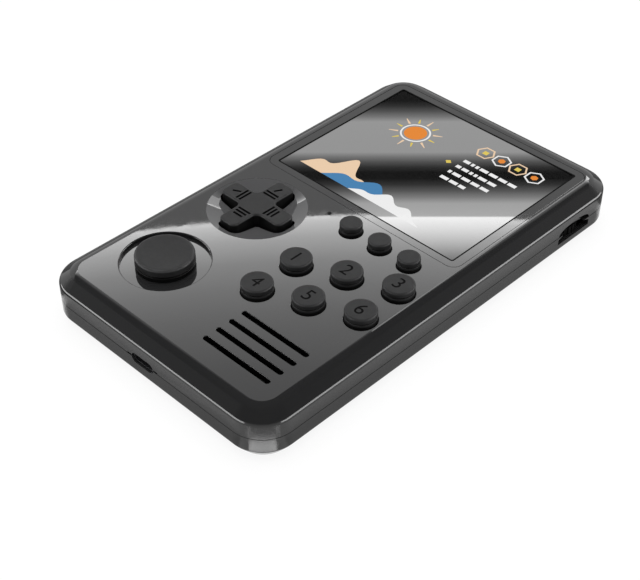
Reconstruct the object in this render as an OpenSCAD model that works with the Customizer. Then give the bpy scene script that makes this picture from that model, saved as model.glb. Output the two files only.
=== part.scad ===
// Handheld game console, lying on its back. X right, Y towards the screen, Z out of the screen.
// Origin on the back face at the middle of the outline. All sizes in millimetres.

/* [Case] */
// Width of the case across X
body_w = 79; // [77:0.5:84]
// Length of the case along Y
body_l = 133.6; // [131:0.2:139]
// Corner radius of the side walls
corner_r = 9.5; // [8.5:0.5:11]
// Height of the front face above the back face
face_z = 14.6; // [14.4:0.1:15.2]
// Height of the parting line
part_z = 7.3; // [7.2:0.05:7.5]
// Inset of the chamfer round the front face
cham_in = 3.84; // [3.4:0.02:4.2]
// Drop of the chamfer round the front face
cham_drop = 2.83; // [2.5:0.01:3]
// Inset of the bevel round the back face
bevel_in = 2.4; // [2:0.1:2.6]
// Height of the bevel round the back face
bevel_h = 3.18; // [2.9:0.02:3.4]
// Thickness of the side walls
wall = 1.8; // [1.6:0.1:2]
// Thickness of the front plate
plate_t = 1.7; // [1.6:0.1:1.8]
// Thickness of the back plate
floor_t = 1.6; // [1.5:0.1:1.7]

/* [Screen] */
// Width of the clear lens
lens_w = 67.8; // [66:0.2:69]
// Height of the clear lens along Y
lens_l = 56; // [54:0.5:57]
// Thickness of the clear lens
lens_t = 1; // [0.8:0.1:1.1]
// Place of the screen centre along Y
screen_y = 32.6; // [32.2:0.1:33]
// Width of the display window
view_w = 61.2; // [58:0.2:61.4]
// Height of the display window along Y
view_l = 46.2; // [44:0.2:48]

/* [Direction pad] */
// Place of the pad across X
pad_x = -19.6; // [-20.2:0.1:-19.4]
// Place of the pad along Y
pad_y = -12.1; // [-12.6:0.1:-11.8]
// Length of the cross from tip to tip
pad_len = 22.2; // [20:0.2:23]
// Width of each arm of the cross
pad_arm = 6; // [5.4:0.1:6.6]
// Height of the cross above the front face
pad_rise = 1.6; // [1.2:0.1:2.2]
// Radius of the dish round the cross
dish_r = 13.4; // [13:0.1:13.8]
// Depth of the dish at its middle
dish_depth = 2.4; // [2:0.1:2.5]

/* [Joystick] */
// Place of the stick across X
stick_x = -20; // [-20.4:0.1:-19.6]
// Place of the stick along Y
stick_y = -43.3; // [-43.8:0.1:-42.9]
// Radius of the recess round the stick
recess_r = 11.6; // [11.2:0.1:12]
// Depth of the recess
recess_depth = 1.1; // [0.9:0.1:1.2]
// Radius of the stick cap
cap_r = 7.65; // [7:0.05:7.7]
// Travel of the stick from the middle along each axis
stick_travel = 2.5; // [2:0.1:2.6]

/* [Buttons] */
// Radius of the six action buttons
act_r = 4.1; // [3.6:0.1:4.4]
// Radius of the three function buttons
fun_r = 3; // [2.6:0.1:3.2]
// Height of the buttons above the front face
btn_rise = 3.1; // [2.4:0.1:3.4]
// Column pitch of the action buttons across X
act_px = 12.5; // [12.3:0.1:12.6]
// Step of the action buttons along Y from column to column
act_step = 5.1; // [4.8:0.1:5.3]
// Row pitch of the action buttons along Y
act_py = 13.35; // [13:0.05:13.6]
// Pitch of the function buttons
fun_px = 9.9; // [9.6:0.1:10]
// Gap between a button and its hole
btn_gap = 0.2; // [0.15:0.05:0.3]
// Travel of the buttons
btn_travel = 1; // [0.8:0.1:1.1]

/* [Speaker] */
// Place of the speaker across X
spk_x = 19.1; // [18.8:0.1:19.4]
// Place of the speaker along Y
spk_y = -49.1; // [-49.4:0.1:-48.8]
// Radius of the speaker
spk_r = 10.4; // [9.5:0.1:10.6]
// Length of each sound slot between its end centres
slot_len = 20.7; // [18:0.1:21]
// Width of each sound slot
slot_w = 1.5; // [1:0.1:1.8]
// Pitch of the sound slots
slot_pitch = 4.12; // [3.8:0.02:4.2]

/* [Edge controls] */
// Place of the charging port across X
usb_x = -1.6; // [-2:0.1:-1]
// Place of the volume wheel along Y
wheel_y = 47.9; // [47.6:0.1:48.2]
// Radius of the volume wheel
wheel_r = 7.4; // [7:0.1:7.5]
// Travel of the power slider
power_travel = 2; // [1.5:0.1:2]
// Place of the sound jack across X
jack_x = -18; // [-18.4:0.1:-17.6]
// Radius of the bore of the sound jack
jack_bore = 1.8; // [1.75:0.01:1.85]

/* [Fits] */
// Gap between the lens and its pocket
lens_gap = 0.1; // [0.08:0.01:0.15]
// Gap between the tongue and the rebate of the case halves
lip_gap = 0.15; // [0.1:0.01:0.2]
// Gap round a screw in its hole
screw_gap = 0.05; // [0.03:0.01:0.08]
// Gap between sliding pieces
run_gap = 0.1; // [0.06:0.01:0.12]

/* [Hidden] */
$fn = 64;
// Places on the case follow its width and length, and those by the top edge keep their distance from it.
kx = body_w / 79;
ky = body_l / 133.6;
top_dy = (body_l - 133.6) / 2;
pad_p = [pad_x * kx, pad_y * ky];
stick_p = [stick_x * kx, stick_y * ky];
spk_p = [spk_x * kx, spk_y * ky];
led_p = [-4.4 * kx, -0.5 * ky];
screen_at = screen_y * ky;
usb_at = usb_x * kx;
jack_at = jack_x * kx;
wheel_at = wheel_y + top_dy;
lens_wide = lens_w * kx;
lens_long = lens_l * ky;
view_wide = view_w * kx;
view_long = view_l * ky;
in_w = body_w - 2 * wall;
in_l = body_l - 2 * wall;
in_r = corner_r - wall;
plate_z = face_z - plate_t;
key_z = plate_z - 5.1;
key_t = 1.2;
pcb_z = 4.9;
pcb_t = 1.2;
pcb_top = pcb_z + pcb_t;
io_z = 2.8;
io_top = io_z + 1;
btn_flange = 1.2;
dish_ball = (dish_r * dish_r + dish_depth * dish_depth) / (2 * dish_depth);
btn_base = plate_z - btn_flange;
act_x0 = 4.9;
act_y0 = -21.8;
fun_x0 = 4.9;
fun_y0 = -2.1;
lcd_w = view_wide + 1.4;
lcd_l = view_long + 4.8;
lcd_low = screen_at - lcd_l / 2;
lcd_z = plate_z - 3.3;
lcd_t = 2.8;
bracket_t = 0.8;
bracket_z = lcd_z - bracket_t;
ear_x = in_w / 2 - 2.8;
ear_ys = [screen_at - 14.6 * ky, screen_at + 14 * ky];
case_pts = [
    [body_w / 2 - 6.3, body_l / 2 - 6.2], [-body_w / 2 + 6.3, body_l / 2 - 6.2],
    [body_w / 2 - 6.3, -body_l / 2 + 6.2], [-body_w / 2 + 6.3, -body_l / 2 + 6.2],
    [body_w / 2 - 5, 3.9 * ky], [-body_w / 2 + 5, 3.9 * ky]
];
key_pts = [for (p = [[-4.2, -26.5], [-3.2, -55.3],
    [31, -37.8], [-31, -27.7]]) [p[0] * kx, p[1] * ky]];
pcb_pts = [for (p = [[-26, -57.5], [26, -57.5], [-26, 0], [26, 0]]) [p[0] * kx, p[1] * ky]];
io_pts = [for (p = [[-27.5, 52], [8, 47], [8, 55]]) [p[0] * kx, p[1] + top_dy]];
main_low = -body_l / 2 + 2.5;
main_high = lcd_low - 3.1;
main_half = body_w / 2 - 10.1;
io_low = body_l / 2 - 23.3;
cell_low = main_high + 4;
cell_high = io_low - 1.5;
dish_floor = plate_z - 1.5;
recess_z = face_z - recess_depth;
recess_under = recess_z - 1.2;
hole_r = 2.2 + 1.42 * stick_travel + 0.3;
disc_r = hole_r + 1.42 * stick_travel + 0.2;
pad_top = face_z + pad_rise;
pad_pivot = key_z + key_t + 0.9;
pad_flange_r = 7.5;
wheel_x = body_w / 2 - 0.7 - wheel_r;
wheel_z = 5.3;
wheel_t = 2.2;
jack_z = io_top + 2.3;
switch_y = 48 + top_dy;
switch_z = io_top + 1.9;

// Solid with a rounded-rectangle outline whose inset follows [inset, height] pairs from bottom to top.
module rounded_stack(w, l, r, prof) {
    low = prof[0][1];
    high = prof[len(prof) - 1][1];
    side = concat([[0, low]], [for (p = prof) [r - p[0], p[1]]], [[0, high]]);
    translate([-w / 2 + r, -l / 2 + r, low])
        cube([w - 2 * r, l - 2 * r, high - low]);
    for (a = [0, 1, 2, 3]) {
        dx = a == 0 || a == 3 ? 1 : -1;
        dy = a < 2 ? 1 : -1;
        translate([dx * (w / 2 - r), dy * (l / 2 - r), 0])
            rotate([0, 0, 90 * a])
                rotate_extrude(angle = 90)
                    polygon(side);
    }
    for (a = [0, 180])
        rotate([0, 0, a]) {
            translate([w / 2 - r, l / 2 - r, 0])
                rotate([90, 0, 0])
                    linear_extrude(l - 2 * r)
                        polygon(side);
            translate([-w / 2 + r, l / 2 - r, 0])
                rotate([90, 0, 90])
                    linear_extrude(w - 2 * r)
                        polygon(side);
        }
}

// Upright tube or post.
module post(p, low, high, r) {
    translate([p[0], p[1], low])
        cylinder(r = r, h = high - low);
}

// Block between two corners.
module block(a, b) {
    translate(a)
        cube([b[0] - a[0], b[1] - a[1], b[2] - a[2]]);
}

// Flat outline with round ends along X.
module stadium(len, wide) {
    square([len, wide], center = true);
    for (s = [-1, 1])
        translate([s * len / 2, 0])
            circle(d = wide);
}

// Cross outline with round tips and inner corners.
module cross_outline(grow) {
    half = pad_len / 2 + grow;
    arm = pad_arm / 2 + grow;
    tip = 1.6 + grow;
    nook = 1.6 - grow;
    difference() {
        union() {
            for (a = [0, 90])
                rotate(a) {
                    square([2 * half - 2 * tip, 2 * arm], center = true);
                    square([2 * half, 2 * arm - 2 * tip], center = true);
                    for (sx = [-1, 1], sy = [-1, 1])
                        translate([sx * (half - tip), sy * (arm - tip)])
                            circle(r = tip);
                }
            square(2 * arm + 2 * nook, center = true);
        }
        for (sx = [-1, 1], sy = [-1, 1])
            translate([sx * (arm + nook), sy * (arm + nook)])
                circle(r = nook);
    }
}

function action_pos(i) =
    [(act_x0 + (i % 3) * act_px) * kx, (act_y0 + (i % 3) * act_step - floor(i / 3) * act_py) * ky];
function function_pos(i) = [(fun_x0 + i * fun_px) * kx, fun_y0 * ky];

// Opening of the volume wheel in the right wall, flat below and arched above.
module wheel_window() {
    rise = 1.5;
    half = 6.65;
    arc = (half * half + rise * rise) / (2 * rise);
    translate([body_w / 2 - wall - 1, wheel_at, wheel_z - 0.5])
        rotate([90, 0, 90])
            linear_extrude(wall + 2)
                intersection() {
                    translate([0, 1.6 + rise - arc])
                        circle(r = arc);
                    translate([-half, 0])
                        square([2 * half, 4]);
                }
}

// Openings that both case halves share.
module edge_openings() {
    translate([usb_at, -body_l / 2 - 1, pcb_top + 1.25])
        rotate([-90, 0, 0])
            linear_extrude(wall + 2)
                stadium(4.9, 2.9);
    translate([jack_at, body_l / 2 - wall - 1, jack_z])
        rotate([-90, 0, 0])
            cylinder(r = 3.1, h = wall + 2);
    wheel_window();
    translate([-body_w / 2 - 1, switch_y, switch_z])
        rotate([90, 0, 90])
            linear_extrude(wall + 2)
                stadium(5.6, 2.7);
}

module lip_ring(grow, low, high) {
    difference() {
        rounded_stack(in_w + 1.6 + 2 * grow, in_l + 1.6 + 2 * grow, in_r + 0.8 + grow, [[0, low],
            [0, high]]);
        rounded_stack(in_w, in_l, in_r, [[0, low - 1], [0, high + 1]]);
    }
}

module front_shell() {
    slope = plate_t * sqrt(cham_in * cham_in + cham_drop * cham_drop) / cham_drop;
    cut = cham_in - plate_t * cham_in / cham_drop + slope - wall;
    cut_h = cut * cham_drop / cham_in;
    color([0.3, 0.3, 0.31])
        difference() {
            union() {
                difference() {
                    rounded_stack(body_w, body_l, corner_r,
                        [[0, part_z], [0, face_z - cham_drop], [cham_in, face_z]]);
                    rounded_stack(in_w, in_l, in_r, [[0, part_z - 1],
                        [0, plate_z - cut_h], [cut, plate_z]]);
                }
                for (p = case_pts)
                    post(p, part_z, plate_z + 0.2, 2.3);
                for (p = key_pts)
                    post(p, key_z + key_t, plate_z + 0.2, 1.9);
                for (s = [-1, 1], y = ear_ys)
                    post([s * ear_x, y], bracket_z + bracket_t, plate_z + 0.2, 1.6);
                post(pad_p, dish_floor, plate_z + 0.2, dish_r + 0.4);
                post(stick_p, recess_under, plate_z + 0.2, recess_r + 1.2);
                difference() {
                    post(spk_p, plate_z - 2.6, plate_z + 0.2, spk_r + 1.1);
                    post(spk_p, plate_z - 3, plate_z, spk_r + 0.15);
                }
            }
            lip_ring(lip_gap, part_z - 1, part_z + 1.05);
            translate([0, screen_at, 0])
                rounded_stack(lens_wide + 2 * lens_gap, lens_long + 2 * lens_gap, 3,
                    [[0, face_z - lens_t], [0, face_z + 1]]);
            translate([-view_wide / 2, screen_at - view_long / 2, plate_z - 1])
                cube([view_wide, view_long, plate_t + 1]);
            translate([pad_p[0], pad_p[1], face_z - dish_depth + dish_ball])
                sphere(r = dish_ball);
            translate([pad_p[0], pad_p[1], dish_floor - 1])
                linear_extrude(6)
                    cross_outline(0.6);
            post(stick_p, recess_z, face_z + 1, recess_r);
            post(stick_p, recess_under - 1, face_z, hole_r);
            for (i = [0:5])
                post(action_pos(i), plate_z - 1, face_z + 1, act_r + btn_gap);
            for (i = [0:2])
                post(function_pos(i), plate_z - 1, face_z + 1, fun_r + btn_gap);
            for (i = [0:3])
                translate([spk_p[0], spk_p[1] + (i - 1.5) * slot_pitch, plate_z - 1])
                    linear_extrude(plate_t + 2)
                        stadium(slot_len, slot_w);
            post(led_p, plate_z - 1, face_z + 1, 0.6);
            for (p = case_pts)
                post(p, part_z - 1, plate_z - 1, 1 + screw_gap);
            for (p = key_pts)
                post(p, key_z, plate_z - 0.4, 0.8 + screw_gap);
            for (s = [-1, 1], y = ear_ys)
                post([s * ear_x, y], bracket_z, plate_z - 0.4, 0.7 + screw_gap);
            edge_openings();
        }
}

module back_shell() {
    slope = 1.7 * sqrt(bevel_in * bevel_in + bevel_h * bevel_h) / bevel_h;
    cut = slope + bevel_in - floor_t * bevel_in / bevel_h - wall;
    cut_h = cut * bevel_h / bevel_in;
    color([0.3, 0.3, 0.31])
        difference() {
            union() {
                difference() {
                    rounded_stack(body_w, body_l, corner_r, [[bevel_in, 0],
                        [0, bevel_h], [0, part_z]]);
                    rounded_stack(in_w, in_l, in_r, [[cut, floor_t],
                        [0, floor_t + cut_h], [0, part_z + 1]]);
                }
                lip_ring(0, part_z - 0.6, part_z + 0.9);
                for (p = case_pts)
                    post(p, floor_t - 0.2, part_z, 3.1);
                for (p = pcb_pts)
                    post(p, floor_t - 0.2, pcb_z, 2.2);
                for (p = io_pts)
                    post(p, floor_t - 0.2, io_z, 2.2);
            }
            for (p = case_pts) {
                post(p, -1, 2.6, 2.1);
                post(p, 0, part_z + 1, 1.2);
            }
            for (p = pcb_pts)
                post(p, 2.2, pcb_z + 1, 0.8 + screw_gap);
            for (p = io_pts)
                post(p, 1.1, io_z + 1, 0.8 + screw_gap);
            edge_openings();
        }
}

// Screw with a cross-recessed pan head, head on the side away from the tip.
module screw(p, head_z, tip_z, r, head_r, head_h) {
    up = tip_z > head_z ? 1 : -1;
    translate([p[0], p[1], head_z])
        mirror([0, 0, up > 0 ? 0 : 1])
            difference() {
                union() {
                    cylinder(r = r, h = abs(tip_z - head_z));
                    translate([0, 0, -head_h])
                        cylinder(r1 = head_r - 0.3, r2 = head_r, h = head_h);
                }
                for (a = [0, 90])
                    rotate([0, 0, a])
                        translate([0, 0, -head_h])
                            cube([head_r * 1.1, 0.45, head_h], center = true);
            }
}

module case_screws() {
    color([0.55, 0.56, 0.58])
        for (p = case_pts)
            screw(p, 2.6, part_z + 3.6, 1, 1.9, 1.2);
}

module key_screws() {
    color([0.7, 0.7, 0.72])
        for (p = key_pts)
            screw(p, key_z, plate_z - 1.2, 0.8, 1.6, 0.8);
}

module board_screws() {
    color([0.7, 0.7, 0.72])
        for (p = pcb_pts)
            screw(p, pcb_top, 2.6, 0.8, 1.6, 0.8);
}

module io_screws() {
    color([0.7, 0.7, 0.72])
        for (p = io_pts)
            screw(p, io_top, 1.4, 0.8, 1.6, 0.8);
}

module bracket_screws() {
    color([0.7, 0.7, 0.72])
        for (s = [-1, 1], y = ear_ys)
            screw([s * ear_x, y], bracket_z, plate_z - 1, 0.7, 1.3, 0.7);
}

module screen_lens() {
    color([0.1, 0.1, 0.11])
        translate([0, screen_at, 0])
            rounded_stack(lens_wide, lens_long, 3 - lens_gap, [[0, face_z - lens_t],
                [0, face_z - 0.15], [0.15, face_z]]);
}

module lcd_gasket() {
    color([0.08, 0.08, 0.08])
        difference() {
            block([-lcd_w / 2, screen_at - lcd_l / 2, plate_z - 0.5],
                [lcd_w / 2, screen_at + lcd_l / 2, plate_z]);
            block([-view_wide / 2, screen_at - view_long / 2, plate_z - 1],
                [view_wide / 2, screen_at + view_long / 2, plate_z + 1]);
        }
}

module lcd_panel() {
    color([0.05, 0.05, 0.06])
        difference() {
            block([-lcd_w / 2, screen_at - lcd_l / 2, lcd_z],
                [lcd_w / 2, screen_at + lcd_l / 2, lcd_z + lcd_t]);
            block([-lcd_w / 2 + 1, screen_at - view_long / 2 - 0.6, lcd_z + lcd_t - 0.2],
                [lcd_w / 2 - 1, screen_at + view_long / 2 + 0.6, lcd_z + lcd_t + 1]);
        }
}

module lcd_bracket() {
    color([0.62, 0.63, 0.65])
        difference() {
            union() {
                block([-lcd_w / 2 - 0.9, screen_at - lcd_l / 2, bracket_z],
                    [lcd_w / 2 + 0.9, screen_at + lcd_l / 2, lcd_z]);
                for (s = [-1, 1], y = ear_ys) {
                    block([s > 0 ? lcd_w / 2 : -ear_x, y - 2, bracket_z],
                        [s > 0 ? ear_x : -lcd_w / 2, y + 2, lcd_z]);
                    post([s * ear_x, y], bracket_z, lcd_z, 2);
                }
            }
            for (s = [-1, 1], y = ear_ys)
                post([s * ear_x, y], bracket_z - 1, lcd_z + 1, 0.7 + screw_gap);
            for (s = [-1, 1])
                block([s * 13 - 7, screen_at - 18, bracket_z - 1],
                    [s * 13 + 7, screen_at + 18, lcd_z + 1]);
        }
}

module lcd_flex() {
    edge = lcd_low;
    color([0.75, 0.5, 0.15])
        union() {
            block([-8, main_high - 6, pcb_top], [8, edge - 0.6, pcb_top + 0.25]);
            block([-8, edge - 0.85, pcb_top], [8, edge - 0.6, lcd_z + 0.6]);
            block([-8, edge - 0.85, lcd_z + 0.35], [8, edge, lcd_z + 0.6]);
        }
}

module key_board() {
    color([0.1, 0.32, 0.18])
        difference() {
            block([-in_w / 2 + 2.5, -body_l / 2 + 9.4, key_z],
                [in_w / 2 - 2.5, fun_y0 * ky + 3.4, key_z + key_t]);
            for (p = key_pts)
                post(p, key_z - 1, key_z + key_t + 1, 0.8 + screw_gap);
        }
}

module main_board() {
    color([0.1, 0.32, 0.18])
        difference() {
            block([-main_half, main_low, pcb_z], [main_half, main_high, pcb_top]);
            for (p = pcb_pts)
                post(p, pcb_z - 1, pcb_top + 1, 0.8 + screw_gap);
        }
}

module main_chip() {
    color([0.08, 0.08, 0.09])
        block([3 * kx, -28 * ky - 6, pcb_top], [3 * kx + 12, -28 * ky + 6, pcb_top + 1.1]);
}

module board_connector() {
    color([0.85, 0.83, 0.75])
        block([-9 * kx, -40 * ky - 1.75, pcb_top], [7 * kx, -40 * ky + 1.75, key_z]);
}

module io_board() {
    color([0.1, 0.32, 0.18])
        difference() {
            union() {
                block([-in_w / 2 + 2.2, io_low, io_z], [in_w / 2 - 2.2, io_low + 13, io_top]);
                block([jack_at - 6, io_low + 13, io_z], [jack_at + 6, body_l / 2 - 3.1, io_top]);
            }
            for (p = io_pts)
                post(p, io_z - 1, io_top + 1, 0.8 + screw_gap);
        }
}

module io_cable() {
    color([0.85, 0.85, 0.88])
        translate([23 * kx, main_high, 0])
            rotate([90, 0, 90])
                linear_extrude(3.5 * kx)
                    polygon([[-1.8, pcb_top], [1, pcb_top],
                        [4, io_top], [io_low - main_high + 1.5, io_top],
                        [io_low - main_high + 1.5, io_top + 0.25], [4.15, io_top + 0.25],
                        [1.15, pcb_top + 0.25], [-1.8, pcb_top + 0.25]]);
}

module battery() {
    color([0.2, 0.35, 0.6])
        block([-28 * kx, cell_low, floor_t], [22 * kx, cell_high, floor_t + 5.4]);
}

module battery_pad() {
    color([0.15, 0.15, 0.15])
        block([-20 * kx, cell_low + 6, floor_t + 5.4], [14 * kx, cell_high - 6, bracket_z]);
}

module battery_plug() {
    color([0.9, 0.9, 0.86])
        block([-20 * kx - 3, main_high - 3.5, pcb_top],
            [-20 * kx + 3, main_high - 0.5, pcb_top + 1.4]);
}

module battery_leads() {
    color([0.7, 0.1, 0.1])
        for (s = [-1, 1])
            translate([-20 * kx + 1.5 * s, main_high - 0.5, pcb_top + 0.65])
                rotate([-90, 0, 0])
                    cylinder(r = 0.6, h = 4.5);
}

module speaker_frame() {
    color([0.35, 0.35, 0.36])
        difference() {
            post(spk_p, plate_z - 2.4, plate_z, spk_r);
            post(spk_p, plate_z - 1.6, plate_z + 1, spk_r - 1.2);
            post(spk_p, plate_z - 3, plate_z, 5.2);
        }
}

module speaker_cone() {
    color([0.12, 0.12, 0.12])
        translate([spk_p[0], spk_p[1], 0])
            rotate_extrude()
                polygon([[0, plate_z - 0.9], [3, plate_z - 0.9],
                    [4.2, plate_z - 1.3], [spk_r - 1.2, plate_z - 0.7],
                    [spk_r - 1.2, plate_z - 1], [4.2, plate_z - 1.6],
                    [4.2, plate_z - 2.2], [0, plate_z - 2.2]]);
}

module speaker_magnet() {
    color([0.6, 0.6, 0.62])
        difference() {
            post(spk_p, plate_z - 3.6, plate_z - 2.4, 7);
            post(spk_p, plate_z - 2.5, plate_z, 4.6);
        }
}

module dpad() {
    color([0.22, 0.22, 0.23])
        difference() {
            union() {
                translate([pad_p[0], pad_p[1], pad_pivot + 0.8])
                    linear_extrude(pad_top - pad_pivot - 0.8)
                        cross_outline(0);
                post(pad_p, pad_pivot, pad_pivot + 0.8, pad_flange_r);
                translate([pad_p[0], pad_p[1], pad_pivot])
                    sphere(r = 0.88);
            }
            for (a = [0, 90, 180, 270], k = [0, 1, 2])
                translate([pad_p[0], pad_p[1], pad_top])
                    rotate([0, 0, a])
                        translate([4.5 + 1.5 * k, 0, 0])
                            cube([0.5, 4.2 - 0.9 * k, 0.6], center = true);
        }
}

module dpad_rubber_pad() {
    color([0.5, 0.5, 0.5])
        translate([pad_p[0], pad_p[1], key_z + key_t])
            difference() {
                union() {
                    cylinder(r = 11.2, h = 0.5);
                    for (a = [0, 90, 180, 270])
                        rotate([0, 0, a])
                            translate([5, 0, 0])
                                cylinder(r1 = 2.3, r2 = 1.7, h = 0.9);
                }
                translate([0, 0, -1])
                    cylinder(r = 1.6, h = 3);
            }
}

module joystick_cap() {
    low = recess_z + 0.3;
    top = face_z + 2.7;
    color([0.2, 0.2, 0.21])
        translate([stick_p[0], stick_p[1], 0])
            rotate_extrude()
                polygon([[2.22, low], [cap_r - 0.15, low],
                    [cap_r + 0.05, low + 0.5], [cap_r + 0.05, low + 1.1],
                    [cap_r - 0.25, low + 1.2], [cap_r - 0.25, low + 1.4], [cap_r - 0.05, low + 1.5],
                    [cap_r, top - 0.9], [cap_r - 0.15, top - 0.45],
                    [cap_r - 0.5, top - 0.15], [cap_r - 1.1, top],
                    [cap_r - 2.2, top - 0.2], [0, top - 0.5], [0, low + 2.05], [2.22, low + 2.05]]);
}

module joystick_slider() {
    color([0.12, 0.12, 0.12])
        translate([stick_p[0], stick_p[1], 0])
            union() {
                translate([0, 0, key_z + key_t + 1.3 + 0.35])
                    cube([9, 9, 0.7], center = true);
                block([-2.5 + run_gap, -3, key_z + key_t + 0.5],
                    [2.5 - run_gap, 3, key_z + key_t + 1.4]);
                post([0, 0], key_z + key_t + 1.3, recess_z + 2.35, 2.2);
                post([0, 0], recess_under - 0.8, recess_under - 0.2, disc_r);
            }
}

module joystick_frame() {
    color([0.75, 0.75, 0.7])
        translate([stick_p[0], stick_p[1], 0])
            difference() {
                block([-5.5, -8.7 + run_gap, key_z + key_t + 0.5],
                    [5.5, 8.7 - run_gap, key_z + key_t + 1.2]);
                block([-2.5, -6.6, key_z], [2.5, 6.6, key_z + key_t + 2]);
            }
}

module joystick_base() {
    color([0.1, 0.1, 0.1])
        translate([stick_p[0], stick_p[1], 0])
            difference() {
                block([-9.5, -9.5, key_z + key_t], [9.5, 9.5, key_z + key_t + 1.9]);
                block([-8.7, -8.7, key_z + key_t + 0.4], [8.7, 8.7, key_z + key_t + 3]);
            }
}

// Push button: flange under the plate, stepped skirt and a cap with a rounded edge.
module button(p, r) {
    top = face_z + btn_rise;
    color([0.22, 0.22, 0.23])
        translate([p[0], p[1], 0])
            rotate_extrude()
                polygon([[0, btn_base], [r + 0.9, btn_base],
                    [r + 0.9, plate_z], [r, plate_z], [r, top - 1.55],
                    [r - 0.12, top - 1.45], [r - 0.12, top - 0.5],
                    [r - 0.3, top - 0.15], [r - 0.65, top],
                    [0, top]]);
}

module button_1() {
    button(action_pos(0), act_r);
}

module button_2() {
    button(action_pos(1), act_r);
}

module button_3() {
    button(action_pos(2), act_r);
}

module button_4() {
    button(action_pos(3), act_r);
}

module button_5() {
    button(action_pos(4), act_r);
}

module button_6() {
    button(action_pos(5), act_r);
}

module function_button_1() {
    button(function_pos(0), fun_r);
}

module function_button_2() {
    button(function_pos(1), fun_r);
}

module function_button_3() {
    button(function_pos(2), fun_r);
}

// Hollow rubber dome under a button.
module dome(p, r) {
    translate([p[0], p[1], key_z + key_t])
        rotate_extrude()
            polygon([[r, 0], [r + 0.4, 0], [r + 0.4, 0.6], [r - 0.9, btn_base - key_z - key_t],
                [0, btn_base - key_z - key_t], [0, btn_travel + 0.3], [r - 1.5, btn_travel + 0.3]]);
}

module action_keypad() {
    color([0.55, 0.55, 0.55])
        union() {
            difference() {
                union() {
                    for (i = [0:5])
                        translate([action_pos(i)[0], action_pos(i)[1], key_z + key_t + 0.3])
                            cube([act_px * kx + 0.2, 10.4, 0.6], center = true);
                    for (i = [0:2])
                        translate([action_pos(i)[0], action_pos(i)[1] - act_py * ky / 2, key_z + key_t + 0.3])
                            cube([4, act_py * ky, 0.6], center = true);
                }
                for (i = [0:5])
                    post(action_pos(i), key_z, plate_z, 3);
            }
            for (i = [0:5])
                dome(action_pos(i), 3);
        }
}

module function_keypad() {
    color([0.55, 0.55, 0.55])
        union() {
            difference() {
                block([function_pos(0)[0] - 4, fun_y0 * ky - 3.1, key_z + key_t],
                    [function_pos(2)[0] + 4, fun_y0 * ky + 3.1, key_z + key_t + 0.6]);
                for (i = [0:2])
                    post(function_pos(i), key_z, plate_z, 2.2);
            }
            for (i = [0:2])
                dome(function_pos(i), 2.2);
        }
}

module led_chip() {
    color([0.9, 0.85, 0.6])
        block([led_p[0] - 0.8, led_p[1] - 0.45, key_z + key_t],
            [led_p[0] + 0.8, led_p[1] + 0.45, key_z + key_t + 0.8]);
}

module led_light_pipe() {
    color([0.9, 0.9, 0.9])
        union() {
            post(led_p, key_z + key_t + 0.8, face_z - 0.1, 0.55);
            post(led_p, plate_z - 0.8, plate_z, 1.2);
        }
}

module usb_socket() {
    color([0.75, 0.75, 0.77])
        translate([usb_at, -body_l / 2, pcb_top + 1.25])
            rotate([-90, 0, 0])
                difference() {
                    translate([0, 0, 0.6])
                        linear_extrude(5.2)
                            stadium(4.9, 2.5);
                    difference() {
                        linear_extrude(5)
                            stadium(4.9, 1.9);
                        translate([-2.2, -0.55, 1.2])
                            cube([4.4, 0.5, 5]);
                    }
                }
}

module sound_jack() {
    color([0.1, 0.1, 0.1])
        difference() {
            union() {
                block([jack_at - 3, body_l / 2 - 14, io_top],
                    [jack_at + 3, body_l / 2 - wall - 0.3, io_top + 4.6]);
                translate([jack_at, body_l / 2 - wall - 1, jack_z])
                    rotate([-90, 0, 0])
                        cylinder(r = 2.8, h = wall + 0.8);
            }
            translate([jack_at, body_l / 2 - 12.5, jack_z])
                rotate([-90, 0, 0])
                    cylinder(r = jack_bore, h = 14);
        }
}

module volume_wheel() {
    color([0.2, 0.2, 0.2])
        difference() {
            post([wheel_x, wheel_at], wheel_z, wheel_z + wheel_t, wheel_r);
            post([wheel_x, wheel_at], wheel_z - 1, wheel_z + wheel_t + 1, 1.5 + screw_gap);
            for (a = [0:12:348])
                translate([wheel_x + wheel_r * cos(a), wheel_at + wheel_r * sin(a), wheel_z - 1])
                    cylinder(r = 0.32, h = wheel_t + 2, $fn = 24);
            post([wheel_x, wheel_at], wheel_z + wheel_t - 0.5, wheel_z + wheel_t + 1, wheel_r - 2.2);
        }
}

module volume_pot() {
    color([0.3, 0.3, 0.3])
        union() {
            post([wheel_x, wheel_at], io_top, wheel_z - 0.2, 4.6);
            post([wheel_x, wheel_at], io_top, wheel_z + wheel_t, 1.5);
        }
}

module power_slider() {
    y0 = switch_y - power_travel / 2;
    color([0.2, 0.2, 0.2])
        difference() {
            union() {
                block([-body_w / 2 + 0.4, y0 - 2, switch_z - 1.1],
                    [-body_w / 2 + 4.6, y0 + 2, switch_z + 1.1]);
                block([-body_w / 2 + wall + 0.2, y0 - 2.7, switch_z - 1.1],
                    [-body_w / 2 + wall + 0.9, y0 + 2.7, switch_z + 1.1]);
            }
            for (k = [-1, 0, 1])
                translate([-body_w / 2 + 0.4, y0 + k * 1.1, switch_z])
                    cube([0.5, 0.4, 4], center = true);
        }
}

module power_switch() {
    low = -body_w / 2 + wall + 1.1;
    color([0.72, 0.72, 0.74])
        difference() {
            block([low, switch_y - 4.6, io_top], [low + 3.4, switch_y + 4.6, io_top + 3.8]);
            block([low - 1, switch_y - 3.2 - run_gap, switch_z - 1.1 - run_gap],
                [low + 2, switch_y + 3.2 + run_gap, switch_z + 1.1 + run_gap]);
        }
}

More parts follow.
